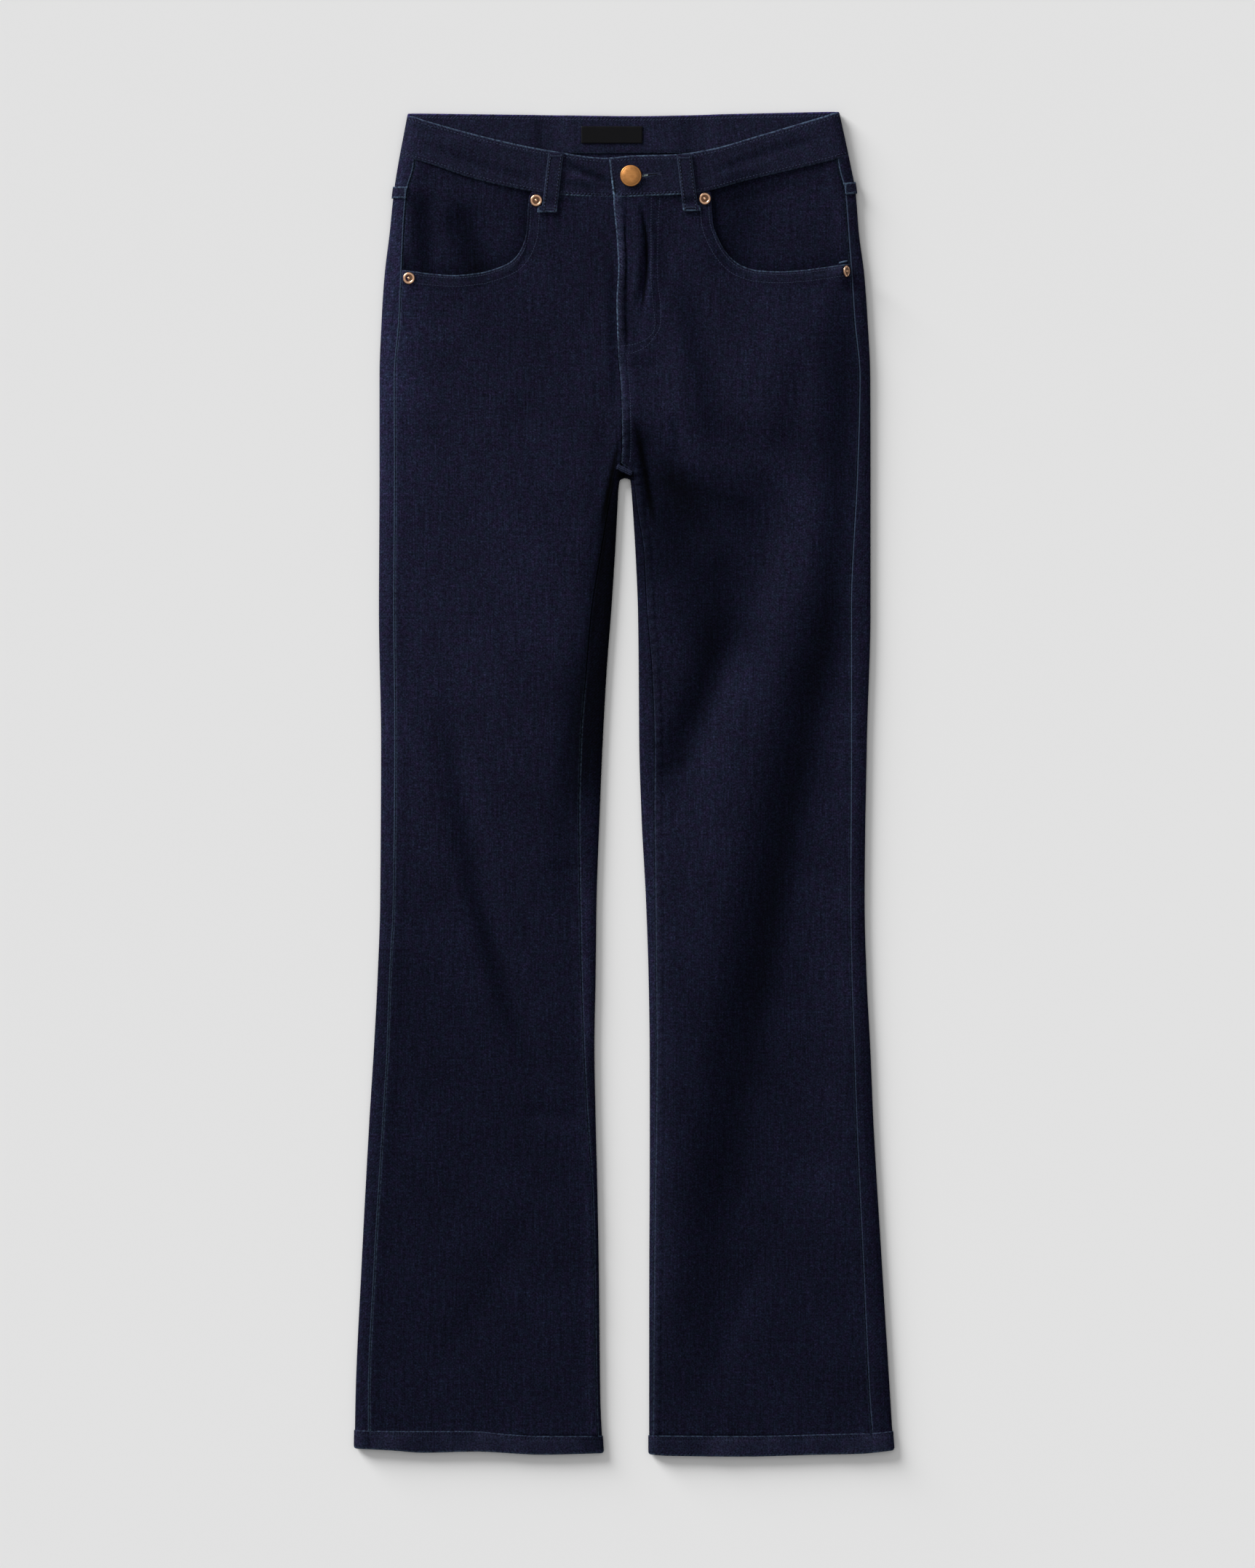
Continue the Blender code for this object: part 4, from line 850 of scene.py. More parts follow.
def front_inner(side, y):
    """Where a front panel ends at the inseam, the centre front seam or under the fly lap."""
    seam = INSEAM[side](np.minimum(y, CROTCH_BACK)) + side * SEAM_ROOM
    if side > 0:
        centre = CENTRE(y) + HALF_GAP
    else:
        centre = CENTRE(y) - HALF_GAP + FLY_LAP * ease((y - FLY_BOTTOM + 1.5) / 3.0)
    share = ease((y - CROTCH_BACK) / (CROTCH_FRONT - CROTCH_BACK))
    return seam + (centre - seam) * share


def front_grid(side):
    """Points of a front panel seen from above: rows from the hem up, columns from its inner edge out."""
    step = size_in_mm("leg_step")
    near_crotch = spaced(240.7, 252.6, 0.7)
    leg_y = np.concatenate([spaced(HEM_TOP, 240.0, step), near_crotch, spaced(253.4, BLEND_LEVEL, step)])
    inner = front_inner(side, leg_y)
    outer = OUTSEAM[side](leg_y) - side * SEAM_ROOM
    columns = bpy.context.scene.jeans_sizes.leg_columns
    across = columns_across(np.abs(outer - inner), INNER_FINE, FINE, columns)
    leg_x = inner[:, None] + side * across
    leg = np.stack([leg_x, np.broadcast_to(leg_y[:, None], leg_x.shape)], axis=-1)

    mouth = POCKET_MOUTH[side]
    x_start, x_mouth = front_inner(side, 470.0), mouth[0][0]
    seam_x = np.linspace(float(x_start), x_mouth, 24)
    seam = np.stack([seam_x, FRONT_LOW(seam_x) + BAND_UNDERLAP], axis=-1)
    seam_length = abs(x_mouth - x_start)
    top_line = np.concatenate([seam[:-1], polyline(mouth, np.linspace(0.0, 1.0, 160))])
    run = run_along(top_line)
    share = across[-1] / across[-1][-1]
    # one column ends exactly at the corner between the waistband seam and the mouth
    corner = np.argmin(np.abs(share * run[-1] - seam_length))
    stretch = np.interp(share, [0.0, share[corner], 1.0], [0.0, seam_length / run[-1], 1.0])
    top = points_at(stretch * run[-1], run, top_line)

    drop = 120.0
    depth = np.concatenate([[0.0], FINE[1:], np.linspace(FINE[-1], drop, 60)[1:]])[::-1]
    levels = 1.0 - depth / drop
    start_y = BLEND_LEVEL + levels * (float(FRONT_LOW(x_start)) + BAND_UNDERLAP - BLEND_LEVEL)
    end_y = BLEND_LEVEL + levels * (MOUTH_END[side] - BLEND_LEVEL)
    start = np.stack([front_inner(side, start_y), start_y], axis=-1)
    end = np.stack([OUTSEAM[side](end_y) - side * SEAM_ROOM, end_y], axis=-1)
    start[-1], end[-1] = top[0], top[-1]
    return np.concatenate([leg, coons(leg[-1], top, start, end)[1:]])


def front_relief(side, x, y, inner, outer, top, is_mouth):
    """Seam ridges, rolled edges and puckers of a front panel, over the laid form."""
    relief = seam_relief(inner, y, 1.0 + side, INSEAM_REACH)
    relief = relief + seam_relief(outer, y, 4.0 + side, OUTSEAM_REACH)
    double = ease((ROW_MOUTH[1] + 0.8 - top) / 1.6) * is_mouth
    relief += double * (0.5 + 0.18 * wander((x * 0.7 + y) * 1.3, 2.0)) + edge_roll(top, 0.9) * is_mouth
    if side > 0:
        on_fly = ease((y - FLY_BOTTOM) / 8.0)
        relief += on_fly * 0.7 * ease((FLY_RIDGE - inner) / 1.0)
        groove = bell(inner - FLY_RIDGE - 0.6, 1.1) * (1.0 + 0.5 * wander(y, 6.0))
        relief -= (0.35 + 0.75 * on_fly) * groove
        rope = np.sin(y * math.tau / 8.3 + 1.4 * np.sin(y / 13.0)) + 0.6 * wander(y * 1.3, 8.0)
        relief += 0.55 * rope * bell(inner - 3.0, 3.0)
    return relief


def build_front(side, name):
    """A front leg panel from its hem to the waistband, cut round the pocket mouth."""
    grid = front_grid(side)
    x, y = grid[..., 0], grid[..., 1]
    from_inner, from_hem = lengths_along(grid, 1), lengths_along(grid, 0)
    outer = from_inner[:, -1:] - from_inner
    top = np.where(y > BLEND_LEVEL, from_hem[-1:] - from_hem, NO_EDGE)
    is_mouth = 1.0 * (side * (grid[-1:, :, 0] - POCKET_MOUTH[side][0][0]) > -0.5)
    z = side_height(x, y, side) + front_relief(side, x, y, from_inner, outer, top, is_mouth)
    if side > 0:
        z += fly_lift(x, y) + corner_ridge(x, y)
    mesh, index = place_on_grid(name, np.stack([x, y, z], axis=-1), grid, flip=side < 0)

    worn_top = np.where(is_mouth > 0.5, top, NO_EDGE)
    edges = np.stack([from_inner, outer, worn_top])
    nearest = np.argmin(edges, axis=0)
    at_leg = ease((CROTCH_BACK - y) / 6.0) * (1.0 - 0.8 * ease((y - 40.0) / 60.0))
    band = 0.35 * ease((ROW_MOUTH[1] + 1.0 - worn_top) / 1.5)
    inner_wear, outer_wear = 0.12 * at_leg, 0.2
    if side > 0:
        fly = ease((y - FLY_BOTTOM) / 6.0)
        inner_wear, outer_wear = 0.18 * at_leg + (0.32 + 0.5 * fly) * (y > CROTCH_BACK), 0.1
        band = np.maximum(band, ease((FLY_RIDGE - from_inner) / 1.0) * (0.35 + 0.65 * fly))
    wear = np.choose(nearest, [inner_wear, np.full_like(x, outer_wear), np.full_like(x, 0.5)])
    band = np.maximum(band, 0.5 * turned_up(side, x, y))
    along = np.where(nearest == 2, from_inner, y)
    # the last value is the painted light and shade of the folds
    seam_data(mesh, index, edges.min(axis=0), along, wear, band, leg_tone_and_painted_shade(side, x, y))
    return finished(mesh, wall=CLOTH)


def build_facing(side, name):
    """Cloth under a pocket mouth, out to the outseam and up to the waistband seam."""
    count, top_count, rows = 46, 23, 36
    mouth = polyline(POCKET_MOUTH[side], np.linspace(0.0, 1.0, count))
    low = offset_line(POCKET_MOUTH[side], MOUTH_UNDERLAY, side, count)
    corner_x = float(OUTSEAM[side](SIDE_TOP))
    corner = (corner_x - side * SEAM_ROOM, float(FRONT_LOW(corner_x)) + BAND_UNDERLAP)
    top_x = np.linspace(low[0][0], corner[0], top_count)
    top = np.stack([top_x, FRONT_LOW(top_x) + BAND_UNDERLAP], axis=-1)
    side_y = np.linspace(corner[1], float(low[-1][1]), count - top_count + 1)[1:]
    seam = np.stack([OUTSEAM[side](side_y) - side * SEAM_ROOM, side_y], axis=-1)
    high = np.concatenate([top, seam])
    low[0] = high[0] - np.array([0.0, 1.0])
    low[-1] = high[-1] - np.array([side * 0.5, 1.0])
    up = np.linspace(0.0, 1.0, rows)[:, None]
    start, end = (low[i] + (high[i] - low[i]) * up for i in (0, -1))
    grid = coons(low, high, start, end)
    x, y = grid[..., 0], grid[..., 1]
    outer = np.maximum(0.0, side * (OUTSEAM[side](y) - SEAM_ROOM * side - x))
    from_mouth = np.linalg.norm(grid[:, :, None, :] - mouth[None, None, :, :], axis=-1).min(axis=2)
    rise = 0.9 * ease((14.0 - outer) / 12.0) * ease((y - MOUTH_END[side] - 5.0) / 10.0)
    z = side_height(x, y, side) - FACING_DROP + rise - 0.9 * bell(from_mouth, 16.0)
    z += fold_sum(FACING_CREASES, x, y) + seam_relief(outer, y, 9.0, OUTSEAM_REACH, 0.2)
    mesh, index = place_on_grid(name, np.stack([x, y, z], axis=-1), grid, flip=side < 0)
    # painted shade: the facing is painted darker under the edge of the pocket mouth, besides the painted
    # light and shade of the folds
    shade = 0.98 * painted_light_and_shade(x, y) * np.exp(-0.5 * bell(from_mouth, 8.0))
    seam_data(mesh, index, outer, y, 0.3, 0.0, shade)
    return finished(mesh, wall=CLOTH)


# --- Back -----------------------------------------------------------------------------------------


def inseam_place(side, y):
    """Where the inseam lies, at least a narrow strip in from the inner edge."""
    edge = INNER_EDGE[side](y)
    return edge + side * np.maximum(NARROWEST_STRIP, np.abs(INSEAM[side](y) - edge))


def turned_point(edge, side, angle, radius, half, lift):
    """A point of the quarter turn between the lying side and an upright edge."""
    sine, cosine = math.sin(math.radians(angle)), math.cos(math.radians(angle))
    return edge - side * radius * (1.0 - cosine), half * (1.0 - sine) + lift * sine


def outer_turn(side, y):
    """From the outseam over the outer edge down to the surface, at one level."""
    edge = float(OUTER[side](y))
    width = abs(edge - float(OUTSEAM[side](y))) - SEAM_ROOM
    xs = [edge - side * step * width for step in SEAM_STEPS]
    points = [(x, y, float(side_height(x, y, side))) for x in xs]
    half = float(HEIGHT(y)) / 2.0
    for angle in UNDER_ANGLES:
        x, _ = turned_point(edge, side, angle, UNDER_TURN, half, 0.0)
        x, z = turned_point(edge, side, angle, UNDER_TURN, half, float(under_lift(x, y)))
        points.append((x, y, z))
    return points


def inner_turn(side, y):
    """From the surface up over the inner edge to the inseam; at the crotch it lies or stands instead."""
    half = float(HEIGHT(y)) / 2.0
    if y > CROTCH_CURL + 1.0:
        outs = np.linspace(FLAT_INNER, HALF_GAP, len(UNDER_ANGLES) + len(INNER_STEPS))
        return [(side * out, y, float(under_lift(side * out, y))) for out in outs]
    stands = y > CROTCH_BACK + 1.0
    edge = side * HALF_GAP if stands else float(INNER_EDGE[side](y))
    points = []
    for angle in reversed(UNDER_ANGLES):
        x, z = turned_point(edge, -side, angle, UNDER_TURN, half, 0.0)
        points.append((x, y, z))
    if stands:
        return points + [(edge, y, half + rise * CURL_HEIGHT) for rise in CURL_RISES]
    width = abs(float(inseam_place(side, y)) - edge) - SEAM_ROOM
    xs = [edge + side * step * width for step in INNER_STEPS]
    return points + [(x, y, float(side_height(x, y, side))) for x in xs]


def back_row(side, level, share):
    """One row of a back panel; it follows the yoke seam by a share."""

    def lowered(x):
        return level - share * (YOKE_SEAM_SIDE - yoke_seam(x))

    row = outer_turn(side, lowered(float(OUTER[side](level))))
    last = inner_turn(side, level)
    start = row[-1][0]
    for x in start + (last[0][0] - start) * np.arange(1, UNDER_COLUMNS) / UNDER_COLUMNS:
        row.append((x, lowered(x), float(under_lift(x, lowered(x)))))
    for x, y, z in last:
        if level > CROTCH_CURL + 1.0 and lowered(x) < level:
            y = lowered(x)
            z = float(under_lift(x, y))
        row.append((x, y, z))
    return row


def lying_sheet(side, name, rows, seam_level):
    """The mesh of a piece that lies on the surface and turns up round the edge to the outseam."""
    points = np.array(rows)[::-1]
    y = points[..., 1]
    from_start = lengths_along(points, 1)
    from_end = from_start[:, -1:] - from_start
    in_leg = ease((CROTCH_BACK - 10.0 - y) / 20.0)
    relief = seam_relief(from_start, y, 4.0 + side, OUTSEAM_REACH)
    relief += in_leg * seam_relief(from_end, y, 1.0 + side)
    points[..., 2] += np.where(points[..., 2] > HEIGHT(y) * 0.5, relief, 0.0)
    inwards = np.sign(points[0, -1, 0] - points[0, 0, 0])
    across = float(OUTSEAM[side](seam_level)) + lengths_along(points, 1) * inwards
    mesh, index = place_on_grid(name, points, np.stack([across, y], axis=-1), flip=side < 0)
    return mesh, index, points, from_start, np.where(in_leg > 0.0, from_end, NO_EDGE)


def build_back(side, name):
    """A back leg panel: flat on the surface, and turned up to the outseam and the inseam."""
    step = size_in_mm("leg_step") * 1.5
    levels = (
        *spaced(YOKE_SEAM_SIDE - HALF_GAP, 258.4, step), *CROTCH_LEVELS, *spaced(238.0, HEM_TOP, step),
    )
    rows = []
    for level in levels:
        share = min(max((level - STRAIGHT_LEVEL) / (levels[0] - STRAIGHT_LEVEL), 0.0), 1.0)
        rows.append(back_row(side, level, share))
    mesh, index, points, from_start, from_end = lying_sheet(side, name, rows, 0.0)
    x, y = points[..., 0], points[..., 1]
    at_outseam = from_start < from_end
    # painted light and shade of the folds, a little paler on the turned-up edges
    shade = np.where(at_outseam, 1.12, 1.05) * leg_tone_and_painted_shade(side, x, y)
    wear = (0.3 if side < 0 else 0.12) * (1.0 - ease((y - 40.0) / 60.0) * (from_end < from_start))
    seam_data(mesh, index, np.minimum(from_start, from_end), y, wear, 0.0, shade)
    return finished(mesh, wall=CLOTH)


def build_yoke(side, name):
    """A back yoke, from the yoke seam to the waistband and round the hip to the outseam."""
    tops = [float(FRONT_LOW(point[0])) + BAND_UNDERLAP for point in outer_turn(side, 504.0)]
    rows = []
    for share in np.linspace(0.0, 1.0, 16):
        row = []
        for column, high in enumerate(tops):
            row.append(outer_turn(side, high + (YOKE_SEAM_SIDE + HALF_GAP - high) * share)[column])
        for x in map(float, np.linspace(row[-1][0], side * HALF_GAP, 42)[1:]):
            top = float(BACK_LOW(x)) + BAND_UNDERLAP
            y = top + (yoke_seam(x) + HALF_GAP - top) * share
            row.append((x, y, float(under_lift(x, y))))
        rows.append(row)
    mesh, index, points, from_start, _ = lying_sheet(side, name, rows, 490.0)
    x, y = points[..., 0], points[..., 1]
    # painted light and shade of the folds, a little paler
    seam_data(mesh, index, from_start, y, 0.3, 0.0, 1.1 * painted_light_and_shade(x, y))
    return finished(mesh, wall=CLOTH)


def build_back_pocket(side, name):
    """A patch pocket on the seat, with no stitching but its own edge rows."""
    corners = np.array([(side * out, y) for out, y in BACK_POCKET])
    shares = np.linspace(0.0, 1.0, 40)
    low = polyline(corners[:1:-1], shares)
    high = corners[0] + (corners[1] - corners[0]) * shares[:, None]
    grid = low + (high - low) * shares[:, None, None]
    points = np.concatenate([grid, np.full_like(grid[..., :1], CLOTH)], axis=-1)
    mesh, index = place_on_grid(name, points, grid, flip=side < 0)
    across, up = lengths_along(points, 1), lengths_along(points, 0)
    edges = np.stack([across, across[:, -1:] - across, up, up[-1:] - up])
    seam_data(mesh, index, edges.min(axis=0), across + up, 0.7, 0.0, 1.1)
    return finished(mesh, wall=CLOTH)


def yoke_fell_line(side):
    """Points of the fell over the yoke seam, from the outseam round the edge to the seat seam."""
    path = outer_turn(side, YOKE_SEAM_SIDE)
    xs = np.concatenate([[p[0] for p in path], np.linspace(path[-1][0], side * 0.6, 60)[1:]])
    turned = len(path)
    start, end = YOKE_TAB_SHIFT[side]

    def column_point(k, across):
        if k < turned:
            level = YOKE_SEAM_SIDE + start + (end - start) * k / turned + across
            x, _, z = outer_turn(side, level)[k]
            return x, level, z
        x = float(xs[k])
        level = yoke_seam(x) + across + end * (1.0 - ease((k - turned) / 12.0))
        return x, level, float(under_lift(x, level))

    def line(share, across):
        place = share * (len(xs) - 1)
        i = min(int(place), len(xs) - 2)
        first, second = column_point(i, across), column_point(i + 1, across)
        return tuple(a + (b - a) * (place - i) for a, b in zip(first, second))

    return line


def seat_fell_line(share, across):
    """Points of the fell over the seat seam, from the waistband to the crotch."""
    high, low = float(BACK_LOW(0.0)) - HALF_GAP, CROTCH_FRONT + 1.0
    y = high + (low - high) * share
    return across, y, float(under_lift(across, y))


def build_fell(name, line, wear, wall=FELL_CLOTH, flip=False):
    """A flat-felled seam: a strip of cloth laid over a line of points on the outer face."""
    across = np.linspace(-0.5, 0.5, 9) * FELL_WIDTH
    points = np.array([[line(s, a) for a in across] for s in np.linspace(0.0, 1.0, 150)])
    mesh, index = place_on_grid(name, points, points[..., :2], flip=flip)
    run = lengths_along(points, 0)
    edge = np.broadcast_to(FELL_WIDTH / 2.0 - np.abs(across), run.shape)
    seam_data(mesh, index, edge, run, wear, 0.5, 1.1)
    return finished(mesh, wall=wall, outwards=True)


def build_crotch_roll(name):
    """The seam allowances that show as a short roll where the two legs part."""
    (x0, y0), (x1, y1) = CROTCH_ROLL
    length = math.hypot(x1 - x0, y1 - y0)
    aside_x, aside_y = -(y1 - y0) / length, (x1 - x0) / length
    turn = np.linspace(0.0, math.tau, 21)
    rows = []
    for share in np.linspace(0.0, 1.0, 26):
        end = round_over(min(share, 1.0 - share) * length + 0.02, ROLL_WIDTH * 0.25)
        wide = ROLL_WIDTH / 2.0 * end * np.cos(turn) * (1.0 + 0.08 * math.sin(share * 19.0))
        high = ROLL_HEIGHT / 2.0 * end * np.sin(turn)
        x, y = x0 + (x1 - x0) * share, y0 + (y1 - y0) * share
        rows.append(np.stack([x + aside_x * wide, y + aside_y * wide, high + CROTCH_TOP], axis=-1))
    points = np.array(rows)
    along = lengths_along(points, 0)
    mesh, index = place_on_grid(name, points, points[..., :2])
    seam_data(mesh, index, np.full(along.shape, 0.9), along, 0.0, 0.2, 0.72)
    return finished(mesh, closed=True, fill_ends=True)


# --- Waistband, loops and hems --------------------------------------------------------------------


def rounded_strip(points, thickness, across_step=2.5):
    """A closed ring of points round a strip of cloth whose long edges are folded round.

    points is the outer face (rows, columns, 3), the columns across the strip. Returns the ring's
    points, how far each is from the nearer long edge, and where the ring lies across the strip."""
    run = lengths_along(points, 1)
    width = run[:, -1]
    normal = np.cross(np.gradient(points, axis=1), np.gradient(points, axis=0))
    normal /= np.linalg.norm(normal, axis=2)[:, :, None] + 1e-9
    if np.mean(normal[len(normal) // 8, :, 2]) < 0.0:
        normal = -normal
    radius = thickness * 0.5
    typical = float(np.median(width))
    middle = np.linspace(radius, typical - radius, max(3, round((typical - 2 * radius) / across_step)))
    turns = np.radians([30.0, 60.0, 90.0, 120.0, 150.0])
    outline = [(s, 0.0) for s in middle]
    outline += [(typical - radius + radius * math.sin(t), radius - radius * math.cos(t)) for t in turns]
    outline += [(s, thickness) for s in middle[::-1]]
    outline += [(radius - radius * math.sin(t), radius + radius * math.cos(t)) for t in turns]
    outline = np.array([*outline, outline[0]])
    ring = np.empty((len(points), len(outline), 3))
    for i, row in enumerate(points):
        place = outline[:, 0] / typical * width[i]
        for axis in range(3):
            base = np.interp(place, run[i], row[:, axis])
            lean = np.interp(place, run[i], normal[i, :, axis])
            ring[i, :, axis] = base - lean * outline[:, 1]
    place = np.broadcast_to(outline[None, :, 0], ring.shape[:2])
    return ring, np.minimum(place, typical - place), place


def band_front_station(side, share, x_low, x_top, across):
    """Points across the waistband on the top side, from its seam to its edge."""
    low_end, top_end = (
        float(OUTER[side](y) - side * OUTER_ROUND[side](y)) for y in (BAND_SIDE_LOW, BAND_SIDE_TOP)
    )
    low = x_low + (low_end - x_low) * share
    top = x_top + (top_end - x_top) * share
    x = low + (top - low) * across
    y = FRONT_LOW(low) + (FRONT_TOP(top) - FRONT_LOW(low)) * across
    z = side_height(x, y, side) + BAND_PROUD + band_step(x, side) + fold_sum(BAND_CREASES, x, y)
    z = z + 0.16 * wander(x * 1.4, 3.0) * (1.0 - across) + 0.14 * wander(x * 1.2, 5.0) * across
    return np.stack([x, y, z], axis=-1)


def band_edge_stations(side, across):
    """Points across the waistband where it turns round the side."""
    stations = []
    top_y = float(FRONT_TOP(side * 173.0))
    y_side = BAND_SIDE_LOW + (top_y - BAND_SIDE_LOW) * across
    edge = OUTER[side](y_side)
    for inward in BAND_STEPS:
        x = edge - side * inward * OUTER_ROUND[side](y_side)
        y_front = FRONT_LOW(x) + (FRONT_TOP(x) - FRONT_LOW(x)) * across
        y = y_front + (y_side - y_front) * (1.0 - inward)
        z = side_height(x, y, side) + BAND_PROUD * (0.5 + 0.5 * inward)
        stations.append(np.stack([x, y, z], axis=-1))
    half = HEIGHT(y_side) / 2.0 + BAND_PROUD / 2.0
    for angle in BAND_ANGLES:
        x, _ = turned_point(edge, side, angle, BAND_UNDER_TURN, half, 0.0)
        y = BACK_LOW(x) + (BACK_TOP(x) - BACK_LOW(x)) * across
        z = turned_point(edge, side, angle, BAND_UNDER_TURN, half, under_lift(x, y))[1]
        stations.append(np.stack([x, y, z], axis=-1))
    return stations


def build_waistband(name):
    """One band from its hidden right end, round the back, to its lapped left end."""
    across = np.linspace(0.0, 1.0, 14)
    ends = {-1: (UNDER_LAP_END, UNDER_LAP_END), 1: (TAB_END_LOW, TAB_END_TOP)}
    shares = np.linspace(0.0, 1.0, 80)[:-1]
    front = {
        side: [band_front_station(side, share, *ends[side], across) for share in shares] for side in (-1, 1)
    }
    right, left = band_edge_stations(-1, across), band_edge_stations(1, across)
    back = []
    for share in np.linspace(0.0, 1.0, 120)[1:-1]:
        x = right[-1][:, 0] + (left[-1][:, 0] - right[-1][:, 0]) * share
        y = BACK_LOW(x) + (BACK_TOP(x) - BACK_LOW(x)) * across
        back.append(np.stack([x, y, under_lift(x, y)], axis=-1))
    points = np.array([*front[-1], *right, *back, *left[::-1], *front[1][::-1]])
    ring, edge, place = rounded_strip(points, BAND_CLOTH)
    along = np.broadcast_to(lengths_along(ring[:, :1, :], 0), place.shape)
    mesh, index = place_on_grid(name, ring, np.stack([along, place], axis=-1))
    x, y, z = (ring[..., i] for i in range(3))
    distance = np.minimum(edge, np.minimum(along, along[-1, 0] - along))
    shown = (z > 6.0) & (np.abs(x) < 48.0)
    wear = np.where(place < 16.0, np.where(shown, 1.5, 0.3), 0.6)
    # on the band's top side, the painted light and shade of the folds
    tone = 1.06 * np.where(z > 5.0, painted_light_and_shade(x, y), 1.0)
    seam_data(mesh, index, distance, along, wear, 0.3, tone)
    violet = (place > 26.0) * (z < 6.5) * (z > 1.2)
    set_number(mesh, "violet", violet[index])
    return finished(mesh, closed=True, fill_ends=True)


def build_loop(name, x_top, y_top, x_low, y_low, top_side):
    """A belt loop: a narrow folded strip, its lower end turned under."""
    rows = []
    for share in np.linspace(0.0, 1.0, 44):
        x_mid = x_top + (x_low - x_top) * share
        y = y_top + (y_low - y_top) * share
        width = LOOP_WIDTH
        if top_side:
            ledge = LOOP_LEDGE[name] * ease((share - 0.885) / 0.02)
            width += abs(ledge)
            x_mid += ledge / 2.0
        x = x_mid + np.linspace(-0.5, 0.5, 9) * width
        z = np.full_like(x, LOOP_CLOTH)
        if top_side:
            side = 1 if x_mid > 0.0 else -1
            on_band = ease((y - FRONT_LOW(x) + 8.0) / 7.0)
            lift = (BAND_PROUD + np.maximum(0.0, band_step(x, side))) * on_band + 0.2
            arch = LOOP_ARCH * math.sin(math.pi * share) + 0.6 * ease((share - 0.88) / 0.03)
            z += side_height(x, y, side) + lift + arch + 0.16 * wander(y * 2.0 + x, 2.0 + side)
        rows.append(np.stack([x, np.full_like(x, y), z], axis=-1))
    ring, edge, place = rounded_strip(np.array(rows), LOOP_CLOTH, across_step=1.4)
    along = np.broadcast_to(lengths_along(ring[:, :1, :], 0), place.shape)
    mesh, index = place_on_grid(f"scene_{name}", ring, np.stack([place, along], axis=-1))
    from_end = along[-1:, :] - along
    wear = 0.22 + 0.9 * ease((3.5 - from_end) / 2.0)
    seam_data(mesh, index, np.minimum(edge, from_end), along, wear, 0.35, 1.05)
    return finished(mesh, closed=True, fill_ends=True)


def hem_shares(side):
    """Places of points across the top side of a hem, as shares of its width from the outer edge."""
    width = abs(float(OUTER[side](HEM_MIDDLE)) - float(INNER_EDGE[side](HEM_MIDDLE))) + 2.0 * HEM_WIDER
    middle = np.linspace(HEM_INSET, width - HEM_INSET, 150)
    return np.concatenate([HEM_ENDS, middle, width - np.array(HEM_ENDS[::-1])]) / width


def hem_ends(side, down):
    """Both ends of a row of the hem's top side: outer and inner, each with its level."""
    for edge, way in ((OUTER[side], side), (INNER_EDGE[side], -side)):
        at_top = edge(HEM_TOP)
        rim = HEM_ROW_LEVEL[side](at_top) + HEM_RIM
        level = float(rim + (HEM_LOW[side](at_top) - rim) * down)
        yield float(edge(level)) + way * HEM_WIDER, level


def build_hem(side, name):
    """The turned-up hem of a leg, a flattened tube with roped puckers below its row of stitches."""
    shares = hem_shares(side)
    under_top = HEM_TOP - SEAM_ROOM
    rows, lows, tones, doubles = [], [], [], []
    for down in HEM_LEVELS:
        (outer, outer_y), (inner, _) = hem_ends(side, down)
        x = outer + (inner - outer) * shares
        low = hem_low(side, x, (outer, inner))
        row_level = HEM_ROW_LEVEL[side](x)
        top = row_level + HEM_RIM
        y = top + (low - top) * down
        clear = np.clip(x, min(outer, inner) + HEM_WIDER, max(outer, inner) - HEM_WIDER)
        below = row_level - y
        past = side * (x - OUTSEAM[side](y))
        seams = 0.3 * ease((OUTSEAM_REACH - past) / SEAM_RAMP) * (past > 0.0)
        seams = seams - 0.45 * bell(past, 0.8) - 0.4 * bell(x - INSEAM[side](y), 0.8)
        proud = HEM_PROUD * (0.5 + 0.5 * ease((below + HEM_RIM) / 1.4)) - 0.3 * bell(below, 0.9)
        proud = proud + hem_pucker(side, x, y) * ease((below + 1.5) / 2.5)
        z = side_height(clear, y, side) + proud + seams + edge_roll(y - low, 1.2)
        upper = np.stack([x, y, z], axis=-1)
        half = float(HEIGHT(outer_y)) / 2.0
        turn_in, turn_out, flat = [], [], []
        for angle in HEM_ANGLES:
            in_x, rise = turned_point(inner, -side, angle, UNDER_TURN, half, 0.0)
            out_x, _ = turned_point(outer, side, angle, UNDER_TURN, half, 0.0)
            turn_in.append((in_x, float(y[-1]), rise))
            turn_out.append((out_x, float(y[0]), rise))
        for flat_x in np.linspace(turn_in[-1][0], turn_out[-1][0], 24)[1:-1]:
            flat_low = hem_low(side, flat_x, (outer, inner))
            flat.append((flat_x, float(under_top + (flat_low - under_top) * down), 0.0))
        rows.append(np.concatenate([upper, turn_in, flat, turn_out[::-1], upper[:1]]))
        rest = np.ones(len(rows[-1]) - len(x))
        lows.append(np.append(np.minimum(y - low, top - y + 0.5), rest * float(y[0] - low[0])))
        # painted light and shade of the folds, and the hem's own tone
        tones.append(np.append(leg_tone_and_painted_shade(side, x, y), rest * HEM_TONE))
        doubles.append(np.append(0.5 * turned_up(side, x, y), rest * 0.5))
    points, from_bottom, tone, double = (np.array(part)[::-1] for part in (rows, lows, tones, doubles))
    mesh, index = place_on_grid(name, points, points[..., :2], flip=side > 0)
    seam_data(mesh, index, from_bottom, lengths_along(points, 1), 0.5, double, tone)
    return finished(mesh, closed=True, wall=HEM_CLOTH)


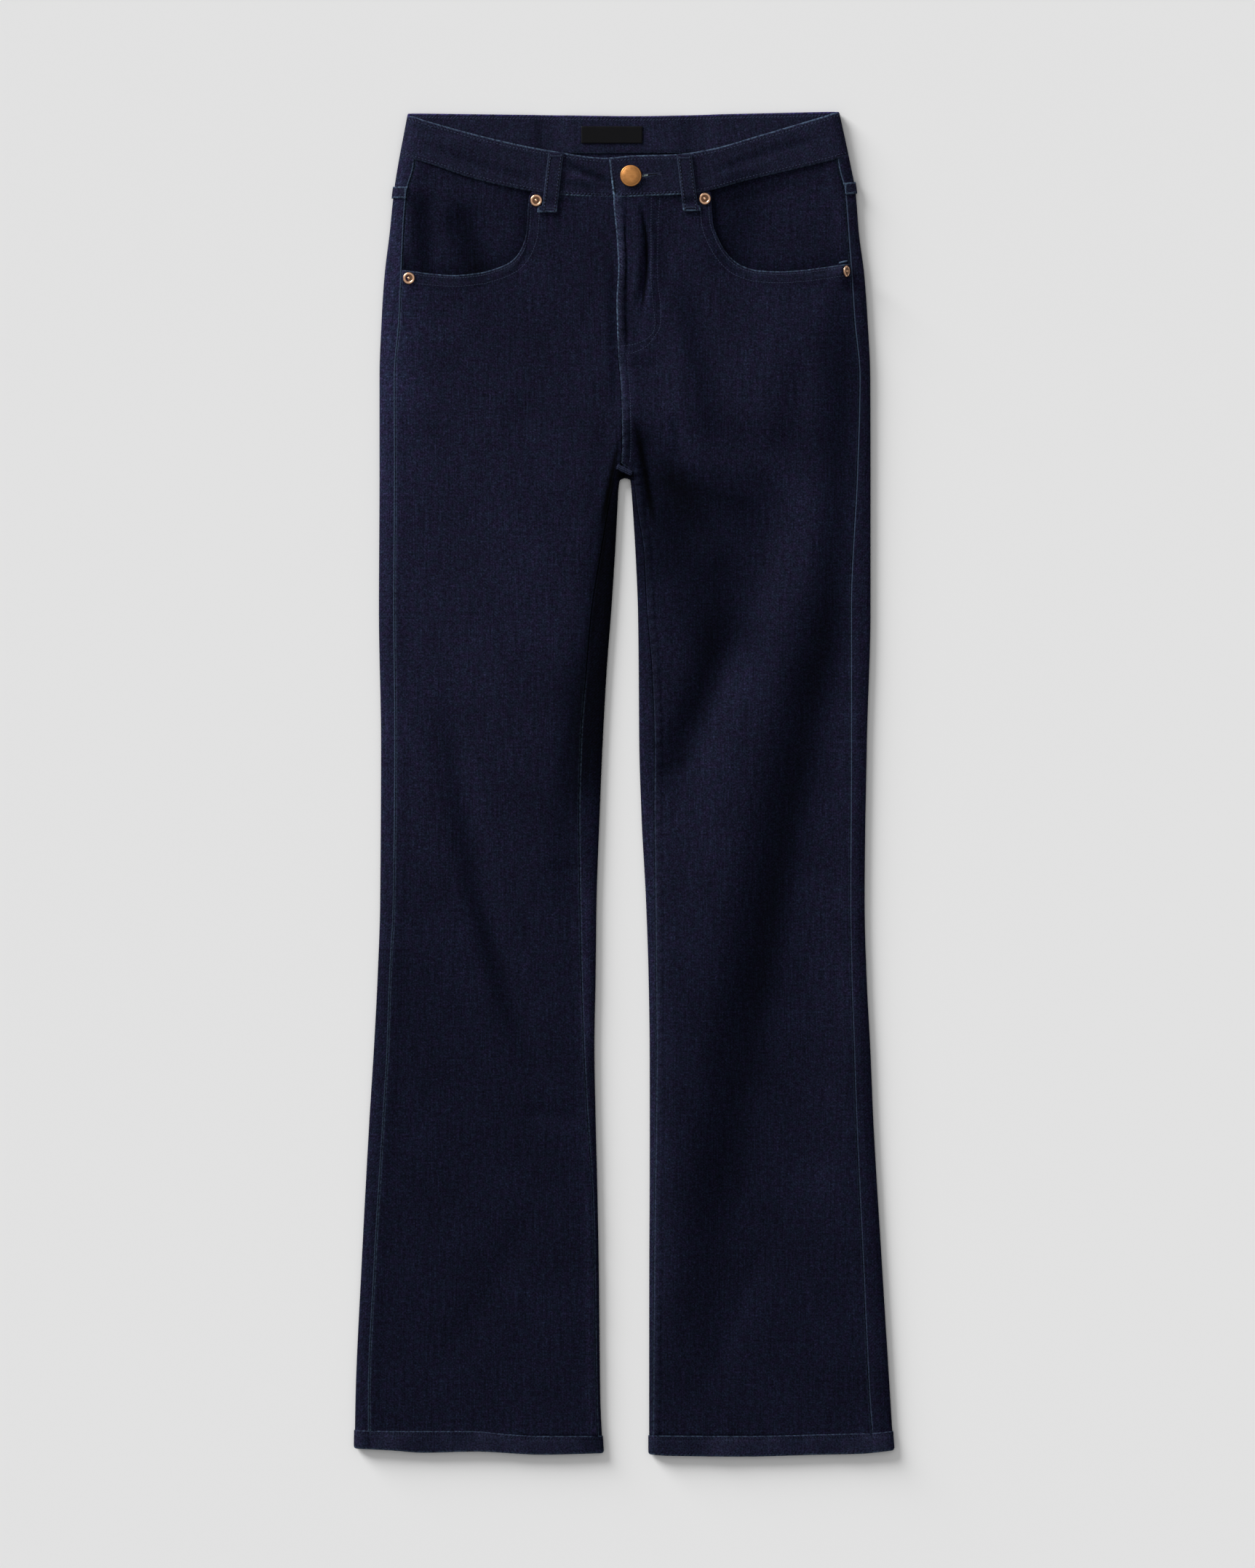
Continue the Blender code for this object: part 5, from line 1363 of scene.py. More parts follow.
def build_label(name):
    """The plain woven label, flat on the inner face of the back waistband."""
    low, high = (Vector(v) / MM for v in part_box("label"))
    x, y = np.meshgrid(np.linspace(low.x, high.x, 50), np.linspace(low.y, high.y, 16))
    z = high.z + 0.12 * wander(x * 1.6, 2.0) * np.exp(-np.minimum(y - low.y, high.y - y) / 3.0)
    points = np.stack([x, y, z], axis=-1)
    mesh, _ = place_on_grid(name, points, points[..., :2])
    return finished(mesh, "label", wall=LABEL_CLOTH)


# --- Metal ----------------------------------------------------------------------------------------


def turned_piece(name, rows, kind, groove):
    """A round piece spun from a rounded (radius, height) outline, tarnished between two radii."""
    profile = polyline(rows, np.linspace(0.0, 1.0, PROFILE_STEPS))
    profile[0, 0] = profile[-1, 0] = 0.0
    bm = bmesh.new()
    verts = [bm.verts.new((radius * MM, 0.0, height * MM)) for radius, height in profile]
    edges = [bm.edges.new(pair) for pair in zip(verts, verts[1:])]
    bmesh.ops.spin(
        bm, geom=verts + edges, axis=(0.0, 0.0, 1.0), cent=(0.0, 0.0, 0.0), angle=math.tau,
        steps=SPIN_STEPS, use_merge=True,
    )
    bmesh.ops.remove_doubles(bm, verts=bm.verts, dist=MERGE * MM)
    bmesh.ops.recalc_face_normals(bm, faces=bm.faces)
    mesh = bpy.data.meshes.new(name)
    bm.to_mesh(mesh)
    bm.free()
    radii = np.array([vert.co.xy.length for vert in mesh.vertices]) / MM
    half_width = max(groove[1] - groove[0], 0.01) / 2.0
    from_middle = np.abs(radii - sum(groove) / 2.0)
    set_number(mesh, "tarnish", ease(1.4 - from_middle / half_width) * (groove[1] > 0.0))
    mesh.materials.append(material(kind))
    mesh.shade_smooth()
    return mesh


def build_metal(node, rows, kind, slot, groove, tilt, shift):
    """The button or a rivet, tilted, and set on the cloth under its solid."""
    mesh = turned_piece(f"scene_{node}", rows, kind, groove)
    mesh.transform(Matrix.Rotation(math.radians(tilt), 4, "Y"))
    bottom = min(vert.co.z for vert in mesh.vertices)
    low, high = (Vector(v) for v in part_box(node))
    middle = (low + high) / 2.0
    place = (middle.x + shift[0] * MM, middle.y + shift[1] * MM, low.z - bottom - METAL_SINK * MM)
    mesh.transform(Matrix.Translation(place))
    obj = link(mesh)
    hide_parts(node)


# --- Sewing ---------------------------------------------------------------------------------------


class Sewer:
    """Finds where rows of stitches lie on the cloth, and makes them into one mesh for each thread."""

    def __init__(self, pieces):
        graph = bpy.context.evaluated_depsgraph_get()
        self.trees = {obj.name.removeprefix("scene_"): BVHTree.FromObject(obj, graph) for obj in pieces}
        self.stitches = []
        self.hole_shades = []
        self.random = random.Random(7)

    def touch(self, x, y, targets, above=True):
        """Where a needle from above (or below) first meets cloth, if it is one of targets."""
        direction = Vector((0.0, 0.0, -1.0 if above else 1.0))
        start = Vector((x * MM, y * MM, 0.1 if above else -0.1))
        first = None
        for name, tree in self.trees.items():
            place, normal, _, distance = tree.ray_cast(start, direction)
            if place is not None and (first is None or distance < first[0]):
                first = (distance, name, place, normal)
        if first and first[1].startswith(tuple(targets)):
            return first[2:]
        return None

    def row(self, points, targets, *, pitch=2.7, long=0.66, wide=0.75, above=True, lean=0.0, sink=0.1):
        """A row of stitches along a line.

        long is each stitch's share of the pitch, lean its slant in degrees, sink how deep it is pulled in."""
        points = np.array(points, dtype=float)
        run = run_along(points)
        count = max(1, int(run[-1] / pitch))
        places = (np.arange(count) + 0.5) * run[-1] / count
        heads = points_at(places + 0.3, run, points) - points_at(places - 0.3, run, points)
        for (x, y), (dx, dy) in zip(points_at(places, run, points), heads):
            found = self.touch(float(x), float(y), targets, above)
            if found is None:
                continue
            place, normal = found
            tilt = math.radians(lean) + self.random.uniform(-0.05, 0.05)
            cosine, sine = math.cos(tilt), math.sin(tilt)
            direction = Vector((dx * cosine - dy * sine, dx * sine + dy * cosine, 0.0))
            if direction.length < 1e-9:
                continue
            direction = (direction - normal * direction.dot(normal)).normalized()
            size = (pitch * long * self.random.uniform(0.92, 1.06), wide, wide * 0.72)
            normal = normal.normalized()
            self.stitches.append((place / MM - normal * sink, direction, normal, size))
            # after a short stitch, a black bead sunk into the cloth is painted shade in the needle hole
            if long < 0.8:
                hole_shade = place / MM + direction * (pitch / 2.0) - normal * (sink + 0.06)
                self.hole_shades.append((hole_shade, direction, normal, (pitch * (1.1 - long), wide * 1.1, wide * 0.6)))

    def beads(self, name, kind, marks):
        """One mesh with a rounded bead at each mark, and no marks left."""
        bm = bmesh.new()
        bmesh.ops.create_uvsphere(bm, u_segments=7, v_segments=4, radius=0.5)
        bmesh.ops.rotate(bm, verts=bm.verts, cent=(0, 0, 0), matrix=Matrix.Rotation(math.pi / 2.0, 3, "Y"))
        bmesh.ops.triangulate(bm, faces=bm.faces)
        bm.verts.ensure_lookup_table()
        shape = np.array([vert.co for vert in bm.verts])
        faces = np.array([[vert.index for vert in face.verts] for face in bm.faces])
        bm.free()
        verts = []
        for place, direction, normal, size in marks:
            side = normal.cross(direction)
            axes = np.array([direction * size[0], side * size[1], normal * size[2]])
            verts.append(shape @ axes + np.array(place))
        first = len(shape) * np.arange(len(marks))
        mesh = bpy.data.meshes.new(name)
        mesh.from_pydata(np.concatenate(verts) * MM, [], (faces + first[:, None, None]).reshape(-1, 3))
        mesh.materials.append(material(kind))
        mesh.shade_smooth()
        link(mesh)
        marks.clear()


def band_line(side, across):
    """A line along the top side of the waistband at a share of its width, up to its lapped edge."""
    start, top, lap = (
        (TAB_END_LOW, TAB_END_TOP, TAB_END_LOW + 1.0)
        if side > 0
        else (UNDER_LAP_END, UNDER_LAP_END, TAB_END_TOP - 1.0)
    )
    at = np.array([across])
    line = [band_front_station(side, share, start, top, at)[0, :2] for share in np.linspace(0.0, 1.0, 90)]
    line += [station[0, :2] for station in band_edge_stations(side, at)[:6]]
    return [point for point in line if side * (point[0] - lap) > 0.0]


def sew_outseams(sewer):
    """The worn rows beside both outseams, and round the ends of the yoke seams."""
    lean = THREAD_SLANT
    for side, _ in LEGS:
        for high, low, wide in ((500, -60, 0.6), (-60, -520, 0.4)):
            line = [(float(OUTSEAM[side](y)) + side * 0.9, y) for y in np.linspace(high, low, 200)]
            sewer.row(line, ["back", "yoke"], pitch=1.2, long=1.35, wide=wide, lean=side * lean)
        at_seam, at_edge = (YOKE_SEAM_SIDE + shift for shift in YOKE_TAB_SHIFT[side])
        start, end = float(OUTSEAM[side](at_seam)) + side * 1.2, float(OUTER[side](at_edge)) + side * 1.0
        low, high = 1.0 - FELL_WIDTH / 2.0, FELL_WIDTH / 2.0 - 0.8
        ends = (
            ((start, at_seam + low), (end, at_edge + low), 0.75),
            ((start, at_seam + high), (end, at_edge + high), 0.5),
            ((start, at_seam + low), (start, at_seam + high), 1.3),
        )
        for first, last, wide in ends:
            sewer.row([first, last], ["yoke_fell"], pitch=1.15, long=1.0, wide=wide, lean=side * lean)


def sew_front(sewer):
    """Every row on the top side: waistband, pocket mouths, fly, crotch, hems and front loops."""
    pitch, fine = size_in_mm("stitch"), size_in_mm("hem_stitch")
    for side, word in LEGS:
        for across in (ROW_BAND_LOW / BAND_WIDTH, 1.0 - ROW_BAND_TOP / BAND_WIDTH):
            sewer.row(band_line(side, across), ["waistband"], pitch=pitch)
        for distance in ROW_MOUTH:
            line = offset_line(POCKET_MOUTH[side], distance, side)
            sewer.row(line, [f"front_{word}"], pitch=fine, long=1.05, wide=0.6)
    lap = [(TAB_END_LOW + 2.8, 476.0), (TAB_END_TOP + 2.9, 500.6)]
    sewer.row(lap, ["waistband"], pitch=pitch, wide=0.5)
    lines = [polyline(row, np.linspace(0.0, 1.0, 120)) for row in FLY_J]
    for distance in ROW_CENTRE:
        lines.append([(float(CENTRE(y)) + distance, y) for y in np.linspace(345.0, 259.0, 40)])
    for line in lines:
        sewer.row(line, ["front_left"], pitch=fine, long=0.9, wide=0.6)
    for aside in (-1.5, 0.0, 1.5):
        line = [(x, y + aside) for x, y in CROTCH_ROLL]
        sewer.row(line, ["crotch_roll"], pitch=0.9, long=2.0, wide=0.45, lean=THREAD_SLANT)
    for side, _ in LEGS:
        inner, outer = INNER_EDGE[side](HEM_MIDDLE) + side * 0.5, OUTER[side](HEM_MIDDLE) - side * 0.5
        line = [(x, float(HEM_ROW_LEVEL[side](x)) + 0.6) for x in np.linspace(inner, outer, 90)]
        sewer.row(line, ["hem", "front", "back"], pitch=fine, wide=0.5)
    for name, x_top, y_top, x_low, y_low, top_side in LOOPS:
        for out in (-1, 1):
            shift = out * (LOOP_WIDTH / 2.0 - ROW_LOOP)
            line = [(x_top + shift, y_top - 1.0), (x_low + shift, y_low + 1.0)]
            sewer.row(line, [name], pitch=pitch, above=top_side)
        for x, y in ((x_top, y_top - 3.0), (x_low, y_low + 3.0)):
            tack = [(x - 4.6, y), (x + 4.6, y)]
            sewer.row(tack, [name], pitch=0.75, long=2.2, wide=0.5, above=top_side, lean=84.0, sink=0.16)


def sew_back(sewer):
    """Every row on the lying side: waistband, patch pockets, hems and felled seams."""
    sew = partial(sewer.row, pitch=size_in_mm("stitch"), above=False)
    xs = np.linspace(-178.0, 178.0, 120)
    for shift, edge in ((-ROW_BAND_TOP, BACK_TOP), (ROW_BAND_LOW, BACK_LOW)):
        sew([(x, float(edge(x)) + shift) for x in xs], ["waistband"])
    inside = [(x, float(BACK_TOP(x)) - 3.2) for x in xs]
    sewer.row(inside, ["waistband"], pitch=2.5, long=0.95, wide=0.7, lean=THREAD_SLANT)
    for side, word in LEGS:
        pocket = [f"back_pocket_{word}"]
        middle = np.array([side * 90.0, 368.0])
        corners = [np.array([side * out, y]) for out, y in (*BACK_POCKET[1:], BACK_POCKET[0])]
        inwards = [(middle - corner) / np.linalg.norm(middle - corner) for corner in corners]
        for inset in ROW_POCKET:
            sew([corner + way * inset * 1.3 for corner, way in zip(corners, inwards)], pocket)
        mouth = [(side * (out - 2.0 if out > 90.0 else out + 2.0), y - 12.0) for out, y in BACK_POCKET[:2]]
        sew(mouth, pocket)
        inner, outer = INNER_EDGE[side](HEM_MIDDLE) + side * 4.0, OUTER[side](HEM_MIDDLE) - side * 4.0
        hem = [(x, HEM_TOP - 1.0) for x in np.linspace(inner, outer, 60)]
        sewer.row(hem, ["hem"], pitch=size_in_mm("hem_stitch"), wide=0.5, above=False)
        for across in (-FELL_WIDTH / 2.0 + 1.6, FELL_WIDTH / 2.0 - 1.6):
            lying = np.linspace(side * 4.0, side * YOKE_SEAM_RUN, 80)
            sew([(x, yoke_seam(x) + across) for x in lying], ["yoke_fell"])
            sew([(across, y) for y in np.linspace(500.0, 262.0, 60)], ["seat_fell"])


def sew_label(sewer):
    """One row round the label, inside its edges."""
    low, high = (Vector(v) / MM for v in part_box("label"))
    x0, y0, x1, y1 = low.x + ROW_LABEL, low.y + ROW_LABEL, high.x - ROW_LABEL, high.y - ROW_LABEL
    line = [(x0, y0), (x1, y0), (x1, y1), (x0, y1), (x0, y0)]
    for start, end in zip(line, line[1:]):
        sewer.row([start, end], ["label"], pitch=2.2, wide=0.45)


def sew_buttonhole(sewer, part):
    """The buttonhole beside the button: thread laid across its converging rims, black beads of painted shade
    along its slit, or its light core.
    """
    (x0, y0), (x1, y1) = BUTTONHOLE
    sew = partial(sewer.row, targets=["waistband"])
    if part == "core":
        sew([(x0, y0 + 0.3), (x0 + 4.6, y0 + 0.9)], pitch=0.9, long=1.9, wide=0.9, lean=80.0)
    # black beads along the slit are painted shade
    elif part == "slit":
        sew([(x0, y0 + 0.5), (x1 - 3.0, y1 - 0.4)], pitch=0.8, long=1.6, wide=1.0)
    else:
        for up, half, thick in ((1.0, 1.6, 3.0), (-1.0, 1.5, 4.6)):
            rim = [(x0, y0 + up * half), (x1 - 3.2, y1 - 0.4 + up * 0.45), (x1 + 0.6, y1 + up * 1.2)]
            sew(rim, pitch=0.5, long=thick, wide=0.44, lean=up * 70.0)


# --- Materials ------------------------------------------------------------------------------------


# Threads, tape and satin. The twist of a thread, the yarns of satin and the ribs of twill are really finer
# than half a millimetre, and are drawn as coarse as they need to be to show.
CLOTH_FINISHES = {
    # name, colour, width of a rib along an axis in mm, contrast, roughness, specular level
    # Spun polyester thread dyed to match: its twist gives fine slanting ribs and a faint gloss
    "thread": ("indigo_thread", "thread", 0.5, 0.25, 0.8, 0.12),
    # The same thread rubbed in the wash: paler, with more contrast between its ribs
    "worn_thread": ("worn_blue_thread", "worn_thread", 0.5, 0.3, 0.8, 0.12),
    # Undyed cord that a buttonhole is worked over: light and soft
    "pale_thread": ("pale_buttonhole_thread", "core", 0.5, 0.2, 0.8, 0.2),
    # Black thread; also painted shade, as the black of needle holes and of the buttonhole's slit
    "black_thread": ("black_thread", "label", 0.5, 0.2, 0.8, 0.1),
    # Unworn denim out of sight under the fly: plain dye, coarse twill, matt
    "shield": ("fly_shield_denim", "indigo", 0.9, 0.35, 0.9, 0.04),
    # Woven polyester satin: black, smooth, slightly glossy
    "label": ("black_label_satin", "label", 0.45, 0.25, 0.6, 0.1),
    # Woven polyester tape: black, ribbed, matt
    "tape": ("woven_zip_tape", "label", 0.8, 0.3, 0.85, 0.2),
}
METAL_FINISHES = {
    # name, colour, roughness, how much its scratches darken it
    # Brass, brushed and darkened: warm, with soft broad highlights
    "brass": ("brushed_antique_brass", "brass", 0.42, 0.22),
    # Copper-gold plate, polished: pink, with small bright highlights
    "rose": ("rose_gold_plate", "rose", 0.3, 0.12),
}
MATERIALS = {}


def add_node(tree, kind, inputs, out=0, **settings):
    """One of a new node's outputs; each input is set to a value or linked from a socket."""
    made = tree.nodes.new("ShaderNode" + kind)
    for name, value in settings.items():
        setattr(made, name, value)
    for socket, value in inputs.items():
        if isinstance(value, bpy.types.NodeSocket):
            tree.links.new(value, made.inputs[socket])
        else:
            made.inputs[socket].default_value = value
    return made.outputs[out]


def new_material(name, **values):
    """A material, its nodes and its shader, with some of the shader's sockets set."""
    made = bpy.data.materials.new(name)
    made.use_nodes = True
    shader = made.node_tree.nodes["Principled BSDF"]
    for socket, value in values.items():
        shader.inputs[socket.replace("_", " ")].default_value = value
    return made, made.node_tree, shader


def finish_material(tree, shader, base, height, strength, depth):
    """Links a colour and a relief, depth mm deep, to the shader."""
    tree.links.new(base, shader.inputs["Base Color"])
    bump = add_node(tree, "Bump", {"Strength": strength, "Distance": depth * MM, "Height": height})
    tree.links.new(bump, shader.inputs["Normal"])


def denim_material():
    """Rinsed indigo denim, woven in twill from ring-spun yarn with slubs: dark, matt, mottled and streaked
    along the leg, with ropy puckers and pale worn edges beside its seams.

    Its patterns are in repeats a millimetre of cloth. Real twill has two ribs a millimetre, too fine to
    show, so ribs, specks and grain are drawn 1.3 to 4 mm long, as coarse as they need to show."""
    made, tree, shader = new_material("indigo_denim", Roughness=0.9, Specular_IOR_Level=0.04)
    node = partial(add_node, tree)
    colours = bpy.context.scene.jeans_colours
    indigo, navy, heather, worn, overlock = (
        (*getattr(colours, word), 1.0) for word in ("indigo", "navy", "heather", "worn", "violet")
    )
    cloth, seam = (node("UVMap", {}, uv_map=word) for word in ("cloth", "seam"))
    wear, band, fade, violet = (
        node("Attribute", {}, "Fac", attribute_name=word) for word in ("wear", "band", "fade", "violet")
    )
    distance, along, _ = node("SeparateXYZ", {0: seam}).node.outputs

    # the dye: indigo and navy patches, lighter and darker with the yarn
    slubs = node("VectorMath", {0: cloth, 1: (0.9, 0.03, 1.0)}, operation="MULTIPLY")
    streak = node("TexNoise", {"Vector": slubs, "Scale": 1.0, "Detail": 3.0})
    speckle = node("TexNoise", {"Vector": cloth, "Scale": 0.7, "Detail": 3.0, "Roughness": 0.7})
    grain = node("TexNoise", {"Vector": cloth, "Scale": 0.28, "Detail": 1.0})
    blotch = node("TexNoise", {"Vector": cloth, "Scale": 0.02, "Detail": 2.0})
    ribs = {"Vector": cloth, "Scale": 0.24, "Distortion": 0.6}
    twill = node("TexWave", ribs, wave_type="BANDS", bands_direction="DIAGONAL")
    shade = 0.0
    for source, strength in ((streak, 1.5), (speckle, 4.8), (grain, 1.3), (blotch, 0.6), (twill, 0.12)):
        middle = node("Math", {0: source, 1: 0.5}, operation="SUBTRACT")
        shade = node("Math", {0: middle, 1: strength, 2: shade}, operation="MULTIPLY_ADD")
    shade = node("Math", {0: shade}, operation="EXPONENT")
    patch = node("TexNoise", {"Vector": cloth, "Scale": 0.16, "Detail": 4.0})
    patch = node("MapRange", {0: patch, 1: 0.38, 2: 0.62})
    dye = node("Mix", {0: patch, 6: indigo, 7: navy}, 2, data_type="RGBA")
    base = node("VectorMath", {0: dye, "Scale": shade}, operation="SCALE")

    # mottled wear where the cloth is double
    mottle = node("TexNoise", {"Vector": cloth, "Scale": 0.8, "Detail": 2.0})
    mottle = node("MapRange", {0: mottle, 1: 0.4, 2: 0.7, 4: 0.55})
    mottle = node("Math", {0: mottle, 1: band}, operation="MULTIPLY")
    base = node("Mix", {0: mottle, 6: base, 7: heather}, 2, data_type="RGBA")

    # ropy puckers every 3.1 mm along a worn seam, up to 4.5 mm from it
    turns = node("Math", {0: distance, 1: 0.8, 2: along}, operation="MULTIPLY_ADD")
    turns = node("Math", {0: turns, 1: math.tau / 3.1}, operation="MULTIPLY")
    rope = node("Math", {0: turns}, operation="SINE")
    near = node("MapRange", {0: distance, 1: 4.5, 2: 1.0})
    near = node("Math", {0: near, 1: wear}, operation="MULTIPLY")
    rope = node("Math", {0: rope, 1: near}, operation="MULTIPLY")

    # painted light and shade of the folds: the colour is made paler or darker, and bluer where painted shade
    # darkens it
    shaded = node("MapRange", {0: fade, 1: 1.0, 2: 0.4})
    tint = node("Mix", {0: shaded, 4: (1.0, 1.0, 1.0), 5: PAINTED_SHADE_TINT}, 1, data_type="VECTOR")
    base = node("VectorMath", {0: base, 1: tint}, operation="MULTIPLY")
    roped = node("Math", {0: rope, 1: 0.6, 2: 1.0}, operation="MULTIPLY_ADD")
    fade = node("Math", {0: fade, 1: roped}, operation="MULTIPLY")
    base = node("VectorMath", {0: base, "Scale": fade}, operation="SCALE")

    # the folded edge itself, worn pale in patches, or overlocked in violet
    patches = node("TexNoise", {"Vector": cloth, "Scale": 0.42, "Detail": 3.0})
    patches = node("MapRange", {0: patches, 1: 0.38, 2: 0.66, 3: 0.1, 4: 0.85})
    rim = node("MapRange", {0: distance, 1: 1.6, 2: 0.3})
    rim = node("Math", {0: rim, 1: patches}, operation="MULTIPLY")
    rim = node("Math", {0: rim, 1: wear}, operation="MULTIPLY")
    edge = node("Mix", {0: violet, 6: worn, 7: overlock}, 2, data_type="RGBA")
    base = node("Mix", {0: rim, 6: base, 7: edge}, 2, data_type="RGBA")

    height = node("Math", {0: speckle, 1: 1.2, 2: rope}, operation="MULTIPLY_ADD")
    height = node("Math", {0: twill, 1: 0.35, 2: height}, operation="MULTIPLY_ADD")
    finish_material(tree, shader, base, height, 0.5, 0.2)
    return made


def cloth_material(name, colour, rib, contrast, roughness, specular):
    """Thread, tape or satin: fine ribs over an even dye, on the object's own coordinates."""
    made, tree, shader = new_material(name, Roughness=roughness, Specular_IOR_Level=specular)
    node = partial(add_node, tree)
    place = node("TexCoord", {}, "Object")
    ribs = {"Vector": place, "Scale": 0.314 / (rib * MM), "Distortion": 1.5}
    ribs = node("TexWave", ribs, wave_type="BANDS", bands_direction="DIAGONAL")
    noise = node("TexNoise", {"Vector": place, "Scale": 0.4 / (rib * MM)})
    both = node("Math", {0: ribs, 1: 0.5, 2: noise}, operation="MULTIPLY_ADD")
    shade = node("MapRange", {0: both, 1: 0.3, 2: 1.2, 3: 1.0 - contrast, 4: 1.0 + contrast})
    colour = tuple(getattr(bpy.context.scene.jeans_colours, colour))
    base = node("VectorMath", {0: colour, "Scale": shade}, operation="SCALE")
    finish_material(tree, shader, base, both, 0.4, 0.1)
    return made


def metal_material(name, colour, roughness, scratches):
    """Plated metal with scratches half a millimetre apart and dull patches of three millimetres."""
    made, tree, shader = new_material(name, Metallic=1.0)
    node = partial(add_node, tree)
    place = node("TexCoord", {}, "Object")
    drawn = node("VectorMath", {0: place, 1: (0.25 / MM, 2.2 / MM, 1.0 / MM)}, operation="MULTIPLY")
    fine = node("TexNoise", {"Vector": drawn, "Scale": 1.0, "Detail": 3.0})
    dull = node("TexNoise", {"Vector": place, "Scale": 0.3 / MM})
    rough = node("MapRange", {0: dull, 1: 0.3, 2: 0.7, 3: roughness * 0.75, 4: roughness * 1.3})
    tree.links.new(rough, shader.inputs["Roughness"])
    shade = node("MapRange", {0: fine, 1: 0.3, 2: 0.7, 3: 1.0 - scratches, 4: 1.0})
    tarnish = node("Attribute", {}, "Fac", attribute_name="tarnish")
    clean = node("MapRange", {0: tarnish, 3: 1.0, 4: 0.22})
    shade = node("Math", {0: shade, 1: clean}, operation="MULTIPLY")
    colour = tuple(getattr(bpy.context.scene.jeans_colours, colour))
    base = node("VectorMath", {0: colour, "Scale": shade}, operation="SCALE")
    finish_material(tree, shader, base, fine, 0.25, 0.05)
    return made


def floor_material():
    """Seamless white background paper: pulped and pressed, matt, faintly cloudy every third of a metre."""
    made, tree, shader = new_material("white_paper", Roughness=1.0, Specular_IOR_Level=0.0)
    place = add_node(tree, "TexCoord", {}, "Object")
    noise = add_node(tree, "TexNoise", {"Vector": place, "Scale": 3.0})
    shade = add_node(tree, "MapRange", {0: noise, 3: 0.996, 4: 1.004})
    colour = tuple(bpy.context.scene.jeans_colours.floor)
    base = add_node(tree, "VectorMath", {0: colour, "Scale": shade}, operation="SCALE")
    tree.links.new(base, shader.inputs["Base Color"])
    return made


def material(kind):
    """Each material is made once, when a piece first needs it."""
    if kind not in MATERIALS:
        if kind == "denim":
            MATERIALS[kind] = denim_material()
        elif kind in CLOTH_FINISHES:
            MATERIALS[kind] = cloth_material(*CLOTH_FINISHES[kind])
        else:
            MATERIALS[kind] = metal_material(*METAL_FINISHES[kind])
    return MATERIALS[kind]


# --- Add-on ---------------------------------------------------------------------------------------


def size_property(name, description, value):
    """A size in metres that the sidebar shows."""
    return bpy.props.FloatProperty(
        name=name, description=description, default=value, unit="LENGTH", subtype="DISTANCE"
    )


def colour_property(name, description, value):
    """A colour that the sidebar shows, from an sRGB hex value."""
    return bpy.props.FloatVectorProperty(
        name=name, description=description, default=linear(value), size=3, min=0.0, max=1.0, subtype="COLOR"
    )


class JeansSizes(bpy.types.PropertyGroup):
    """Sizes of the cloth's mesh and of the sewing."""

    leg_step: size_property("Row spacing", "Distance between the rows of points along the legs", 0.0026)
    leg_columns: bpy.props.IntProperty(
        name="Columns", description="Evenly spaced columns of points across a front panel", default=56
    )
    stitch: size_property("Stitch", "Pitch of the rows on the waistband, pockets and fly", 0.0027)
    hem_stitch: size_property("Hem stitch", "Pitch of the rows on the hems", 0.0021)


class JeansColours(bpy.types.PropertyGroup):
    """Colours of the cloth, thread and metal."""

    indigo: colour_property("Indigo", "Dyed face of the denim", "#151325")
    navy: colour_property("Navy", "Bluer patches of the dye", "#131726")
    worn: colour_property("Worn edge", "Denim worn pale on folded edges", "#5b7189")
    violet: colour_property("Overlock", "Violet thread along the band's inner edge", "#4a3f86")
    heather: colour_property("Heather", "Mottled wear over double cloth", "#34384c")
    thread: colour_property("Thread", "Sewing thread, in the cloth's own colour", "#2d3449")
    worn_thread: colour_property("Worn thread", "Thread rubbed pale on the outseams and the yoke", "#3f4f64")
    core: colour_property("Buttonhole core", "Pale thread in the end of the buttonhole", "#9fb2b0")
    label: colour_property("Label", "Black label and zip tape", "#08080b")
    brass: colour_property("Brass", "Button", "#c78b52")
    rose: colour_property("Rose gold", "Rivets", "#dcb090")
    floor: colour_property("Floor", "Paper under the jeans", "#e7e7e7")


def declare(obj):
    """Hides the part's own mesh where a piece of the same name has been made."""
    node = obj.name.removeprefix("scene_")
    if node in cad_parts:
        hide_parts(node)


class JEANS_OT_legs(bpy.types.Operator):
    """Add the front and back panels of both legs"""

    bl_idname = "jeans.add_legs"
    bl_label = "Legs"

    def execute(self, context):
        for side, word in LEGS:
            declare(build_back(side, f"scene_back_{word}"))
            declare(build_front(side, f"scene_front_{word}"))
        return {"FINISHED"}


class JEANS_OT_facings(bpy.types.Operator):
    """Add the pocket facings"""

    bl_idname = "jeans.add_facings"
    bl_label = "Pocket facings"

    def execute(self, context):
        for side, word in LEGS:
            declare(build_facing(side, f"scene_pocket_facing_{word}"))
        return {"FINISHED"}


class JEANS_OT_back(bpy.types.Operator):
    """Add the yokes, the back pockets, the felled seams and the roll where the legs part"""

    bl_idname = "jeans.add_back"
    bl_label = "Yokes and back pockets"

    def execute(self, context):
        for side, word in LEGS:
            declare(build_yoke(side, f"scene_yoke_{word}"))
            declare(build_back_pocket(side, f"scene_back_pocket_{word}"))
            fell = build_fell(f"yoke_fell_{word}", yoke_fell_line(side), 0.75, YOKE_FELL_CLOTH, side > 0)
            declare(fell)
        declare(build_fell("seat_fell", seat_fell_line, 0.6))
        declare(build_crotch_roll("crotch_roll"))
        return {"FINISHED"}


class JEANS_OT_waistband(bpy.types.Operator):
    """Add the waistband and its label"""

    bl_idname = "jeans.add_waistband"
    bl_label = "Waistband"

    def execute(self, context):
        declare(build_waistband("scene_waistband"))
        declare(build_label("scene_label"))
        return {"FINISHED"}


